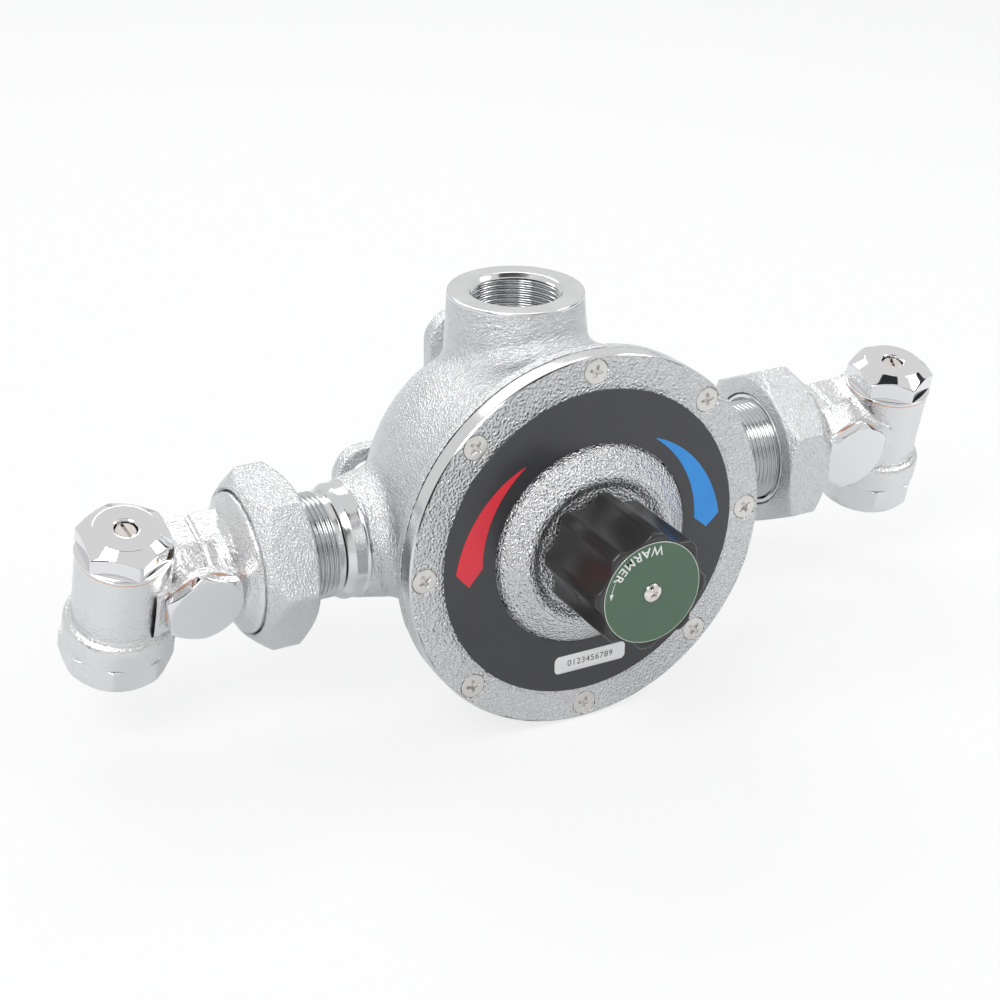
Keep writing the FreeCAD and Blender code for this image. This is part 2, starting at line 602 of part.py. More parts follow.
# ---------------------------------------------------------------- one inlet side
class Side:
    """Names, signs and frames of one inlet side; the arm points back to the body."""

    def __init__(self, name, sign):
        self.name = name
        self.sign = sign
        self.out = "x" if sign > 0 else "-x"
        self.back = "-x" if sign > 0 else "x"
        lead = "" if sign > 0 else "-"
        drop = "-inlet_drop"
        self.turn = f"{name}_tilt"
        self.frame = (f"placement(vector({lead}{name}_stop_out; 0; {drop}); "
                      f"rotation(vector(1;0;0); {name}_tilt))")
        self.nut_inner = f"({name}_stop_out - nut_stand - nut_long)"
        self.nut_spin = f"{sign} * (90 + {name}_nut_turn)"

    def along(self, distance):
        """X of a point at this distance from the stop's axis toward the body."""
        return f"-({distance})" if self.sign > 0 else f"({distance})"

    def span(self, start, end):
        """Lowest X of a stretch between two distances toward the body."""
        return f"-({end})" if self.sign > 0 else f"({start})"

    def outward(self, distance):
        """X of a point at this distance from the middle of the valve."""
        return f"({distance})" if self.sign > 0 else f"-({distance})"


COLLAR_END = "(nut_stand + nut_long - tail_long - washer_thick - 0.1)"


def union_parts(side):
    place = (side.outward(side.nut_inner), "0", "-inlet_drop")
    tail = turned([
        ("stub_radius + thread_gap", "1.3"), ("stub_radius + 1.2", "0.2"), ("tail_radius - 0.4", "0.2"),
        ("tail_radius", "0.6"), ("tail_radius", "nut_lip + 0.3"), ("tail_flange", "nut_lip + 0.3"),
        ("tail_flange", "tail_long"), ("stub_radius + thread_gap", "tail_long"),
    ], place, side.out)
    node(f"{side.name}_union_tail", tail)
    corner = "nut_flats / 2 / cos(30)"
    blank = both(
        bar(6, "nut_flats", "nut_long", place, side.out, None, side.nut_spin),
        turned([("0", "0"), ("nut_flats / 2 - 0.6", "0"), (f"{corner} + 0.2", "3.4"),
                (f"{corner} + 0.2", "nut_long - 8"), ("collar_radius + 1.9", "nut_long"),
                ("0", "nut_long")], place, side.out))
    bore = turned([("0", "-1"), ("tail_radius + lip_gap", "-1"), ("tail_radius + lip_gap", "nut_lip"),
                   ("collar_radius + collar_gap", "nut_lip"),
                   ("collar_radius + collar_gap", "nut_long - 1"),
                   ("collar_radius + collar_gap + 0.8", "nut_long + 1"), ("0", "nut_long + 1")],
                  place, side.out)
    node(f"{side.name}_union_nut", cut(blank, [bore]))


def stop_casting(side):
    f = side.along
    collar_long = f"{COLLAR_END} - nut_stand"
    collar = turned([
        ("0", "28"), ("arm_half - 2", "nut_stand - 14"), ("arm_half + 1.2", "nut_stand - 9"),
        ("arm_half + 4.2", "nut_stand - 6"), ("collar_radius - 4.8", "nut_stand - 3.6"),
        ("collar_radius - 0.8", "nut_stand - 1.8"), ("collar_radius - 0.4", "nut_stand - 1.4"),
        ("collar_radius", "nut_stand - 0.6"), ("collar_radius", f"{COLLAR_END} - 0.8"),
        ("collar_radius - 0.8", COLLAR_END), ("0", COLLAR_END),
    ], ("0", "0", "0"), side.back)
    arm = block(("nut_stand - 18", "2 * arm_half", "2 * arm_half"),
                (side.span("10", "nut_stand - 8"), "-arm_half", "-arm_half"))
    slope = made("Part::Box", ("0", "0", "0"), "z", None, 0, Length="nut_stand", Width="40", Height="20")
    slope.setExpression("Placement", ex(
        f"placement(vector({side.span('10', 'nut_stand + 10')}; -2; arm_half); rotation(vector(1;0;0); 29.4))"
        " * placement(vector(0; -40; 0); rotation(vector(0;0;1);0))"))
    under = made("Part::Box", ("0", "0", "0"), "z", None, 0, Length="nut_stand", Width="40", Height="20")
    under.setExpression("Placement", ex(
        f"placement(vector({side.span('10', 'nut_stand + 10')}; -arm_half + 6; -arm_half);"
        " rotation(vector(1;0;0); -45)) * placement(vector(0; -40; -20); rotation(vector(0;0;1);0))"))
    groove = cut(block(("2.6", "2 * arm_half + 8", "2 * arm_half + 8"),
                       (side.span("33", "35.6"), "-arm_half - 4", "-arm_half - 4")),
                 [block(("2.6", "2 * arm_half - 2.6", "2 * arm_half - 2.6"),
                        (side.span("33", "35.6"), "-arm_half + 1.3", "-arm_half + 1.3"))])
    limb = cut(arm, [slope, under, groove])
    boss = rod("plug_flats / 2 + 0.9", "arm_half + 0.6", (f("plug_out"), "0", "0"), "-y")
    barrel = rod("barrel_radius", "barrel_top + ledge_down + 2", ("0", "0", "-ledge_down - 2"))
    ledge = turned([("0", "-base_down + base_flats_high - 2"),
                    ("ledge_radius", "-base_down + base_flats_high - 2"), ("ledge_radius", "-ledge_down - 2.4"),
                    ("ledge_radius - 0.7", "-ledge_down - 0.6"), ("barrel_radius - 0.5", "-ledge_down + 0.4"),
                    ("0", "-ledge_down + 0.4")])
    base = both(bar(8, "base_flats", "base_flats_high", ("0", "0", "-base_down"), "z", None, 22.5),
                turned([("0", "-base_down"), ("base_flats / 2 - 1.4", "-base_down"),
                        ("base_flats / 2 + 1.9", "-base_down + 5.5"),
                        ("base_flats / 2 + 1.9", "-base_down + base_flats_high - 1.5"),
                        ("base_flats / 2 - 0.2", "-base_down + base_flats_high"),
                        ("0", "-base_down + base_flats_high")]))
    outside = fuse([collar, limb, boss, barrel, ledge, base])
    inside = [
        turned([("0", "-base_down - 1"), ("inlet_tap + 1.6", "-base_down - 1"), ("inlet_tap + 1.4", "-base_down"),
                ("inlet_tap", "-base_down + 1.4"), ("inlet_tap", "-base_down + inlet_deep"),
                ("seat_radius + 1", "-base_down + inlet_deep + 2.5"), ("seat_radius", "-seat_down - 2"),
                ("seat_radius", "-seat_down"), ("chamber_radius", "-seat_down"),
                ("chamber_radius", "barrel_top - cap_skirt - 1"), ("cap_thread", "barrel_top - cap_skirt - 1"),
                ("cap_thread", "barrel_top + 1"), ("0", "barrel_top + 1")]),
        turned([("0", "5"), ("arm_bore", "5"), ("arm_bore", "check_seat"),
                ("check_bore", "check_seat"), ("check_bore", "check_seat + 10"),
                ("stub_radius + 0.8", "check_seat + 10"), ("stub_radius + 0.8", "nut_stand + nut_long"),
                ("0", "nut_stand + nut_long")], ("0", "0", "0"), side.back),
        rod("screen_bore", "arm_half + screen_bore", (f("plug_out"), "screen_bore", "0"), "-y"),
        rod("plug_thread", "7.6", (f("plug_out"), "-arm_half - 0.6 + 7.6", "0"), "-y"),
        rod("plug_flats / 2 / cos(30) + 0.5", "8", (f("plug_out"), "-arm_half - 0.6", "0"), "-y"),
    ]
    node(f"{side.name}_stop_body", cut(outside, inside), side.frame)


def stop_trim(side):
    """Washers, cap, stem, disc, plug, strainer and check of one stop, in the stop's own frame."""
    name, frame, f = side.name, side.frame, side.along
    washer = turned([("stub_radius + 0.9", "0"), ("tail_flange - 0.2", "0"),
                     ("tail_flange - 0.2", "washer_thick"), ("stub_radius + 0.9", "washer_thick")],
                    (f(COLLAR_END), "0", "0"), side.back, frame)
    node(f"{name}_union_washer", washer)
    seat = "barrel_top + washer_flat"
    ring = cut(rod("barrel_radius + 0.2", "washer_flat", ("0", "0", "barrel_top")),
               [rod("cap_thread", "washer_flat", ("0", "0", "barrel_top"))])
    node(f"{name}_cap_washer", ring, frame)
    corner = "cap_flats / 2 / cos(30)"
    rise = f"{seat} + cap_high"
    shoulder = f"{rise} - cap_chamfer"
    crown = both(bar(6, "cap_flats", "cap_high", ("0", "0", seat), "z", None, 12),
                 turned([("0", seat), (f"{corner} + 0.1", seat), (f"{corner} + 0.1", shoulder),
                         ("cap_crown", rise), ("0", rise)]))
    skirt = turned([("0", "barrel_top - cap_skirt"), ("cap_thread - thread_gap", "barrel_top - cap_skirt"),
                    ("cap_thread - thread_gap", seat), ("cap_flange", seat),
                    ("cap_flange", f"{seat} + cap_flange_thick - 0.3"),
                    ("cap_flange - 0.3", f"{seat} + cap_flange_thick"), ("0", f"{seat} + cap_flange_thick")])
    hole = turned([("0", "barrel_top - cap_skirt - 1"), ("10", "barrel_top - cap_skirt - 1"),
                   ("10", "barrel_top - 1"), ("stem_radius + stem_gap", "barrel_top - 1"),
                   ("stem_radius + stem_gap", f"{rise} - 5"), ("stem_hole", f"{rise} - 5"),
                   ("stem_hole", f"{rise} - 0.4"), ("stem_hole + 0.6", f"{rise} + 0.2"), ("0", f"{rise} + 0.2")])
    node(f"{name}_stop_cap", cut(fuse([crown, skirt]), [hole]), frame)
    top = f"{rise} - stem_recess"
    low = "-seat_down + disc_lift"
    tip = f"{low} + stop_disc_thick + disc_thread_gap"
    stem = turned([("0", tip), ("stem_screw - 0.6", tip), ("stem_screw", f"{tip} + 0.6"),
                   ("stem_screw", "barrel_top - cap_skirt - 2"),
                   ("stem_radius", "barrel_top - cap_skirt - 1"), ("stem_radius", "barrel_top - 5"),
                   ("7.5", "barrel_top - 5"), ("7.5", "barrel_top - 1.3"), ("stem_radius", "barrel_top - 1.3"),
                   ("stem_radius", f"{top} - 0.4"), ("stem_radius - 0.4", top), ("0", top)])
    slot = block(("12", "1.5", "3"), ("0", "0", "0"))
    spin = {"left": 97, "right": 68}[name]
    slot.setExpression("Placement", ex(
        f"placement(vector(0;0;{top} - 2.4); rotation(vector(0;0;1);{spin})) * "
        "placement(vector(-6;-0.75;0); rotation(vector(0;0;1);0))"))
    node(f"{name}_stop_stem", cut(stem, [slot]), frame)
    neck_bore = "stem_screw + disc_thread_gap"
    disc = turned([("0", low), ("disc_stop_radius - 1", low), ("disc_stop_radius", f"{low} + 1"),
                   ("disc_stop_radius", f"{low} + stop_disc_thick"), ("disc_neck", f"{low} + stop_disc_thick + 0.6"),
                   ("disc_neck", f"{low} + disc_neck_long"), (neck_bore, f"{low} + disc_neck_long"),
                   (neck_bore, f"{low} + stop_disc_thick"), ("0", f"{low} + stop_disc_thick")])
    node(f"{name}_stop_disc", disc, frame)
    front = "arm_half + 0.6"
    packing = turned([("plug_thread", "0"), ("plug_flats / 2 + 0.4", "0"),
                      ("plug_flats / 2 + 0.4", "washer_flat"), ("plug_thread", "washer_flat")],
                     (f("plug_out"), f"-({front})", "0"), "-y", frame)
    node(f"{name}_plug_washer", packing)
    plug_corner = "plug_flats / 2 / cos(30)"
    head_at = f"{front} + washer_flat"
    head = both(bar(6, "plug_flats", "plug_high", (f("plug_out"), f"-({head_at})", "0"), "-y", None, 8),
                turned([("0", "0"), (f"{plug_corner} - 0.3", "0"), (f"{plug_corner} + 0.1", "0.4"),
                        (f"{plug_corner} + 0.1", "plug_high - 1.5"), ("plug_flats / 2 - 0.3", "plug_high"),
                        ("0", "plug_high")], (f("plug_out"), f"-({head_at})", "0"), "-y"))
    thread = cut(rod("plug_thread - thread_gap", "7", (f("plug_out"), f"-({head_at}) + 7", "0"), "-y"),
                 [rod("screen_radius - 2", "5", (f("plug_out"), f"-({head_at}) + 7", "0"), "-y")])
    node(f"{name}_strainer_plug", fuse([head, thread]), frame)
    start = "screen_bore - 1"
    tube_at = (f("plug_out"), start, "0")
    tube_long = f"{head_at} - 7 + {start}"
    tube = cut(rod("screen_radius", tube_long, tube_at, "-y"),
               [rod("screen_radius - 0.9", tube_long, tube_at, "-y")])
    slits = [block(("2 * screen_bore", "13", "1.6"), (f"{f('plug_out')} - screen_bore", "-5", f"{i} * 4 - 0.8"))
             for i in (-2, -1, 0, 1, 2)]
    node(f"{name}_strainer_screen", cut(tube, slits), frame)
    seat_at = (f("check_seat"), "0", "0")
    poppet = turned([("0", "0.2"), ("check_disc - 1.4", "0.2"), ("check_disc", "1.2"), ("check_disc", "2.4"),
                     ("5", "3"), ("2.2", "3"), ("2.2", "check_lift + 7"), ("0", "check_lift + 7")],
                    seat_at, side.back, frame)
    node(f"{name}_check_poppet", poppet)
    near, far = "check_lift + 5.2", "check_lift + 6.6"
    spider = turned([("2.26", near), ("check_bore - thread_gap", near), ("check_bore - thread_gap", far),
                     ("2.26", far)], seat_at, side.back)
    hole_start = f("check_seat + check_lift + 4.4")
    holes = [rod("2.6", "3", (hole_start, f"7.6 * cos({60 * i})", f"7.6 * sin({60 * i})"), side.back)
             for i in range(6)]
    cage = cut(spider, holes)
    node(f"{name}_check_cage", cage, frame)
    spring = wound("1.3", "3.9", "5.2", "0.8", "0.8", (f("check_seat + 3.7"), "0", "0"), side.back, frame)
    node(f"{name}_check_spring", spring)


body_casting()
cover_parts()
knob_parts()
packing_parts()
mixing_parts()
for one in (Side("left", -1), Side("right", 1)):
    union_parts(one)
    stop_casting(one)
    stop_trim(one)
doc.recompute()

os.makedirs("parts", exist_ok=True)
broken = [f"{obj.Name} {obj.Label} {obj.State}" for obj in doc.Objects
          if "Invalid" in obj.State or "Error" in obj.State]
if broken:
    raise RuntimeError("; ".join(broken))
for obj in NODES:
    shape = obj.Shape
    if shape.isNull() or not shape.isValid() or not shape.Solids:
        raise RuntimeError(f"{obj.Label}: bad shape")
    shape.exportStep(f"parts/{obj.Label}.step")
    box = shape.BoundBox
    print(f"{obj.Label:24s} solids {len(shape.Solids)} volume {shape.Volume:10.1f} "
          f"x {box.XMin:8.1f} {box.XMax:8.1f} y {box.YMin:8.1f} {box.YMax:8.1f} z {box.ZMin:8.1f} {box.ZMax:8.1f}")
print(len(NODES), "pieces")
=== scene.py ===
import math

import bpy
import numpy as np
from mathutils import Matrix, Vector


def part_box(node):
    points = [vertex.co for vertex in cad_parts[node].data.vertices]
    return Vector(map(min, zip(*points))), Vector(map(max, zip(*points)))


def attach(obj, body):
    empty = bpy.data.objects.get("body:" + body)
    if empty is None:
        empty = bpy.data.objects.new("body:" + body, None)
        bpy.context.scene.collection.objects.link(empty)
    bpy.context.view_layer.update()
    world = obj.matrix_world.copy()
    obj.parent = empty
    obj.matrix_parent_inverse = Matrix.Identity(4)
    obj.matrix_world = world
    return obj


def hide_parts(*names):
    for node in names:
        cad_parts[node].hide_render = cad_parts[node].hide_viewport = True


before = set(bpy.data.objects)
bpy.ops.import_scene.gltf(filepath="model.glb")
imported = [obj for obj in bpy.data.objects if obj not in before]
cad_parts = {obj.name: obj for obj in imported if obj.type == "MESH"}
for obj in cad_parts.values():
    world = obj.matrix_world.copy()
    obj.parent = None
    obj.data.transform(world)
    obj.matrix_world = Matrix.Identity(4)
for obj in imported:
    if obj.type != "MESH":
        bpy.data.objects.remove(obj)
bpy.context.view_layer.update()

# ---------------------------------------------------------------------------------------------
# Studio.  A white table and a white room, two soft lamps above and dark cards beside the lens
# that give the plating its dark streaks.
# ---------------------------------------------------------------------------------------------
scene = bpy.context.scene
scene.view_settings.view_transform = "Standard"
TABLE_WIDE = 9
TABLE_GAP = 0.0006
TABLE_GLOW = 0.78

room = bpy.data.worlds.new("white_room")
scene.world = room
room.use_nodes = True
nodes, links = room.node_tree.nodes, room.node_tree.links
nodes.clear()
path = nodes.new("ShaderNodeLightPath")
seen = nodes.new("ShaderNodeMath")
seen.operation = "MAXIMUM"
links.new(path.outputs["Is Camera Ray"], seen.inputs[0])
links.new(path.outputs["Is Glossy Ray"], seen.inputs[1])
through = nodes.new("ShaderNodeMath")
through.operation = "MAXIMUM"
links.new(seen.outputs[0], through.inputs[0])
links.new(path.outputs["Is Transmission Ray"], through.inputs[1])
fill = nodes.new("ShaderNodeBackground")
fill.inputs["Color"].default_value = (0.94, 0.97, 1.0, 1)
fill.inputs["Strength"].default_value = 0.55
white = nodes.new("ShaderNodeBackground")
white.inputs["Strength"].default_value = 1.0
mixed = nodes.new("ShaderNodeMixShader")
links.new(through.outputs[0], mixed.inputs["Fac"])
links.new(fill.outputs[0], mixed.inputs[1])
links.new(white.outputs[0], mixed.inputs[2])
world_out = nodes.new("ShaderNodeOutputWorld")
links.new(mixed.outputs[0], world_out.inputs["Surface"])


def panel(name, centre, aim, wide, high, material):
    """Flat card facing the aim point: corners are centre + (+-wide/2) side + (+-high/2) up."""
    centre, aim = Vector(centre), Vector(aim)
    face = (aim - centre).normalized()
    side = face.cross(Vector((0, 0, 1))).normalized()
    rise = side.cross(face)
    signs = ((-1, -1), (1, -1), (1, 1), (-1, 1))
    spots = [centre + side * (wide / 2 * a) + rise * (high / 2 * b) for a, b in signs]
    mesh = bpy.data.meshes.new(name)
    mesh.from_pydata([tuple(p) for p in spots], [], [(0, 1, 2, 3)])
    mesh.materials.append(material)
    card = bpy.data.objects.new(name, mesh)
    scene.collection.objects.link(card)
    return card


def table_white():
    """White table: its own light to the lens keeps it near white where no shadow falls."""
    material = bpy.data.materials.new("table_white")
    material.use_nodes = True
    tree = material.node_tree
    tree.nodes.clear()
    plain = tree.nodes.new("ShaderNodeBsdfDiffuse")
    plain.inputs["Color"].default_value = (0.86, 0.86, 0.86, 1)
    glow = tree.nodes.new("ShaderNodeEmission")
    glow.inputs["Strength"].default_value = 1.0
    ray = tree.nodes.new("ShaderNodeLightPath")
    share = tree.nodes.new("ShaderNodeMath")
    share.operation = "MULTIPLY"
    share.inputs[1].default_value = TABLE_GLOW
    tree.links.new(ray.outputs["Is Camera Ray"], share.inputs[0])
    blend = tree.nodes.new("ShaderNodeMixShader")
    tree.links.new(share.outputs[0], blend.inputs["Fac"])
    tree.links.new(plain.outputs[0], blend.inputs[1])
    tree.links.new(glow.outputs[0], blend.inputs[2])
    out = tree.nodes.new("ShaderNodeOutputMaterial")
    tree.links.new(blend.outputs[0], out.inputs["Surface"])
    return material


def card_black():
    """Matt black card."""
    material = bpy.data.materials.new("card_black")
    material.use_nodes = True
    shader = material.node_tree.nodes["Principled BSDF"]
    shader.inputs["Base Color"].default_value = (0.02, 0.02, 0.022, 1)
    shader.inputs["Roughness"].default_value = 0.9
    return material


lowest = min(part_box(name)[0].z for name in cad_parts)
# the aim leans a hair off the upright, because a card that faces straight up has no side
panel("table", (0, 0, lowest - TABLE_GAP), (0, 0.0001, 1), TABLE_WIDE, TABLE_WIDE, table_white())
black = card_black()
cards = [
    panel("card_left", (-1.35, -0.75, 0.3), (0, 0, 0), 0.75, 1.5, black),
    panel("card_front", (0.3, -1.6, 0.5), (0, 0, 0), 0.7, 0.5, black),
    panel("card_right", (1.3, -0.45, 0.2), (0, 0, 0), 0.65, 1.3, black),
    panel("card_top", (-0.15, -0.5, 1.4), (0, 0, 0), 1.3, 0.4, black),
]
for card in cards:
    card.visible_camera = False
    card.visible_diffuse = False
    card.visible_shadow = False


def soft_lamp(name, place, aim, size, watts):
    """Square soft box turned to the aim point."""
    lamp = bpy.data.lights.new(name, "AREA")
    lamp.shape = "RECTANGLE"
    lamp.size, lamp.size_y = size
    lamp.energy = watts
    body = bpy.data.objects.new(name, lamp)
    turn = (Vector(aim) - Vector(place)).to_track_quat("-Z", "Y")
    body.matrix_world = Matrix.Translation(place) @ turn.to_matrix().to_4x4()
    scene.collection.objects.link(body)


soft_lamp("key_box", (-0.95, -0.7, 1.25), (0, -0.05, 0), (0.7, 0.7), 11)
soft_lamp("side_box", (1.15, -0.5, 0.8), (0, -0.05, 0), (0.5, 0.9), 6)
soft_lamp("back_box", (0.1, 1.0, 1.1), (0, 0, 0), (1.2, 0.4), 7)

lens = bpy.data.cameras.new("lens")
lens.sensor_width = 36
lens.lens = 83.7
lens_stand = bpy.data.objects.new("lens", lens)
lens_stand.matrix_world = Matrix((
    (0.87923, 0.19484, -0.43473, -0.46778),
    (-0.47612, 0.39028, -0.78803, -0.89790),
    (0.01612, 0.89984, 0.43591, 0.45440),
    (0, 0, 0, 1),
))
scene.collection.objects.link(lens_stand)
scene.camera = lens_stand

# ---------------------------------------------------------------------------------------------
# Body.  One sand-cast bowl with the outlet hub on top, an inlet boss on each side and three wall
# lugs behind; plated all over, with turned lands where pipes and nuts meet it.
# Lengths are millimetres about the inlet plane, which stands WALL in front of the wall.
# ---------------------------------------------------------------------------------------------
WALL = 61.0
INLET_DROP = 10.5
BOWL = 75.0
BOWL_AHEAD = 17.0
BLEND = 9.0
HUB = 31.8
HUB_TIP = 30.5
HUB_CAST = 91.4
HUB_TOP = 93.0
BOSS = 29.2
BOSS_TIP = 26.8
BOSS_CAST = 84.0
LUG_HOLE = 7.7
LUG_RIM = 14.5
LUG_THICK = 7.0
SIDE_LUG_OUT = 48
TOP_LUG_UP = 49
PAD = 34.0
PAD_DEEP = 21.0
CAST_SKIN = dict(depth=0.10, size=7, seed=1)


def outline(*corners, steps=6, reach=1.6):
    """Path through (radius, height, rounding) corners.

    A rounded corner is a quadratic curve between the two points that lie that far from it on its
    sides; straight stretches are then cut into equal parts no longer than `reach`.
    """
    spots = np.array([c[:2] for c in corners], float)
    parts = []
    for i, corner in enumerate(corners):
        bend = corner[2] if len(corner) > 2 else 0
        if bend == 0 or i in (0, len(corners) - 1):
            parts.append(spots[i][None])
            continue
        before, after = spots[i - 1] - spots[i], spots[i + 1] - spots[i]
        a = spots[i] + before / np.linalg.norm(before) * bend
        b = spots[i] + after / np.linalg.norm(after) * bend
        t = np.linspace(0, 1, steps)[:, None]
        parts.append((1 - t) ** 2 * a + 2 * t * (1 - t) * spots[i] + t ** 2 * b)
    line = np.concatenate(parts)
    gaps = np.linalg.norm(np.diff(line, axis=0), axis=1)
    line = line[np.concatenate(([True], gaps > 1e-6))]
    gaps = gaps[gaps > 1e-6]
    places = [np.linspace(0, 1, max(1, math.ceil(g / reach)), endpoint=False) + i
              for i, g in enumerate(gaps)]
    at = np.concatenate(places + [[len(gaps)]])
    return np.stack([np.interp(at, np.arange(len(line)), line[:, k]) for k in (0, 1)], -1)


def swept(line, columns=192, start=0.0):
    """Outline turned about Z: point = (radius cos t, radius sin t, height), t once round."""
    t = start + np.linspace(0, 2 * np.pi, columns, endpoint=False)
    r, h = line[:, :1], line[:, 1:]
    return np.stack([r * np.cos(t), r * np.sin(t), h + 0 * t], -1)


def stood(grid, origin, along, first):
    """Moves a grid so that its Z points along `along` and its X along `first`, from the origin."""
    along, first = np.array(along, float), np.array(first, float)
    return np.array(origin, float) + grid @ np.stack([first, np.cross(along, first), along])


def lumps(points, size, seed):
    """Slow bumpy field of about -1 to 1: a sum of sine waves in set directions, `size` apart."""
    draw = np.random.default_rng(seed)
    waves = draw.normal(size=(3, 16))
    waves *= 2 * np.pi / (size * draw.uniform(0.7, 1.6, 16)) / np.linalg.norm(waves, axis=0)
    return np.sin(points @ waves + draw.uniform(0, 2 * np.pi, 16)).sum(-1) / 4


def roughened(grid, depth, size, seed, closed=True):
    """Moves each point along the grid's own normal by depth times the bumpy field."""
    across = (np.roll(grid, -1, 1) - np.roll(grid, 1, 1)) if closed else np.gradient(grid, axis=1)
    normal = np.cross(across, np.gradient(grid, axis=0))
    normal /= np.linalg.norm(normal, axis=-1, keepdims=True) + 1e-9
    return grid + normal * (depth * lumps(grid, size, seed))[..., None]


def made(name, sheets, body, stands_for=()):
    """One mesh from (grid, material, closed) sheets in millimetres about the inlet plane.

    Neighbouring rows and columns make the quads; a closed sheet's last column meets its first.
    """
    spots, quads, finish, materials, base = [], [], [], [], 0
    for grid, material, closed in sheets:
        rows, columns = grid.shape[:2]
        index = base + np.arange(rows * columns).reshape(rows, columns)
        if closed:
            index = np.concatenate([index, index[:, :1]], 1)
        cells = np.stack([index[:-1, :-1], index[:-1, 1:], index[1:, 1:], index[1:, :-1]], -1)
        quads.append(cells.reshape(-1, 4))
        spots.append(grid.reshape(-1, 3))
        if material not in materials:
            materials.append(material)
        finish.append(np.full(len(quads[-1]), materials.index(material), np.int32))
        base += rows * columns
    where = (np.concatenate(spots) - (0, WALL, 0)) / 1000
    cells = np.concatenate(quads).astype(np.int32)
    mesh = bpy.data.meshes.new(name)
    mesh.vertices.add(len(where))
    mesh.vertices.foreach_set("co", where.astype(np.float32).ravel())
    mesh.loops.add(cells.size)
    mesh.loops.foreach_set("vertex_index", cells.ravel())
    mesh.polygons.add(len(cells))
    mesh.polygons.foreach_set("loop_start", np.arange(0, cells.size, 4, dtype=np.int32))
    for material in materials:
        mesh.materials.append(material)
    mesh.polygons.foreach_set("material_index", np.concatenate(finish))
    mesh.polygons.foreach_set("use_smooth", np.ones(len(cells), bool))
    mesh.update(calc_edges=True)
    mesh.validate(clean_customdata=False)
    piece = bpy.data.objects.new(name, mesh)
    scene.collection.objects.link(piece)
    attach(piece, body)
    if stands_for:
        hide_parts(*stands_for)


def grain_group():
    """Height of sand grain: fine noise, plus scattered pits where a cell pattern is near its seeds."""
    group = bpy.data.node_groups.new("sand_grain", "ShaderNodeTree")
    for socket, low in (("Grains per metre", 900.0), ("Pits", 0.4)):
        entry = group.interface.new_socket(socket, in_out="INPUT", socket_type="NodeSocketFloat")
        entry.default_value = low
    for socket in ("Height", "Shade"):
        group.interface.new_socket(socket, in_out="OUTPUT", socket_type="NodeSocketFloat")
    add, link = group.nodes.new, group.links.new
    entry, leave = add("NodeGroupInput"), add("NodeGroupOutput")
    where = add("ShaderNodeTexCoord")
    noise = add("ShaderNodeTexNoise")
    noise.inputs["Detail"].default_value = 3
    noise.inputs["Roughness"].default_value = 0.62
    link(where.outputs["Object"], noise.inputs["Vector"])
    link(entry.outputs[0], noise.inputs["Scale"])
    cells = add("ShaderNodeTexVoronoi")
    cells.feature = "SMOOTH_F1"
    cells.inputs["Smoothness"].default_value = 0.35
    link(where.outputs["Object"], cells.inputs["Vector"])
    link(entry.outputs[0], cells.inputs["Scale"])
    part = add("ShaderNodeMath")
    part.operation = "MULTIPLY"
    link(cells.outputs["Distance"], part.inputs[0])
    link(entry.outputs[1], part.inputs[1])
    total = add("ShaderNodeMath")
    total.operation = "ADD"
    link(noise.outputs["Fac"], total.inputs[0])
    link(part.outputs[0], total.inputs[1])
    link(total.outputs[0], leave.inputs[0])
    slow = add("ShaderNodeTexNoise")
    slow.inputs["Scale"].default_value = 60
    slow.inputs["Detail"].default_value = 2
    link(where.outputs["Object"], slow.inputs["Vector"])
    link(slow.outputs["Fac"], leave.inputs[1])
    return group


sand_grain = grain_group()


def plated(name, colour, gloss, grains, pits, depth):
    """Bright plating over grain.

    gloss is the (smoothest, roughest) roughness, grains the grains per metre and depth the height
    of a grain in metres; roughness drifts between the two ends with the slow shade.
    """
    material = bpy.data.materials.new(name)
    material.use_nodes = True
    tree = material.node_tree
    shader = tree.nodes["Principled BSDF"]
    shader.inputs["Metallic"].default_value = 1
    shader.inputs["Base Color"].default_value = (*colour, 1)
    grain = tree.nodes.new("ShaderNodeGroup")
    grain.node_tree = sand_grain
    grain.inputs[0].default_value = grains
    grain.inputs[1].default_value = pits
    drift = tree.nodes.new("ShaderNodeMapRange")
    drift.inputs["From Min"].default_value = 0.3
    drift.inputs["From Max"].default_value = 0.7
    drift.inputs["To Min"].default_value, drift.inputs["To Max"].default_value = gloss
    tree.links.new(grain.outputs["Shade"], drift.inputs["Value"])
    tree.links.new(drift.outputs["Result"], shader.inputs["Roughness"])
    bump = tree.nodes.new("ShaderNodeBump")
    bump.inputs["Strength"].default_value = 1
    bump.inputs["Distance"].default_value = depth
    tree.links.new(grain.outputs["Height"], bump.inputs["Height"])
    tree.links.new(bump.outputs["Normal"], shader.inputs["Normal"])
    return material


cast = plated("cast_plating", (0.72, 0.73, 0.74), (0.17, 0.28), 950, 0.7, 0.00062)
turned = plated("turned_plating", (0.74, 0.745, 0.75), (0.10, 0.2), 420, 0.0, 0.00002)


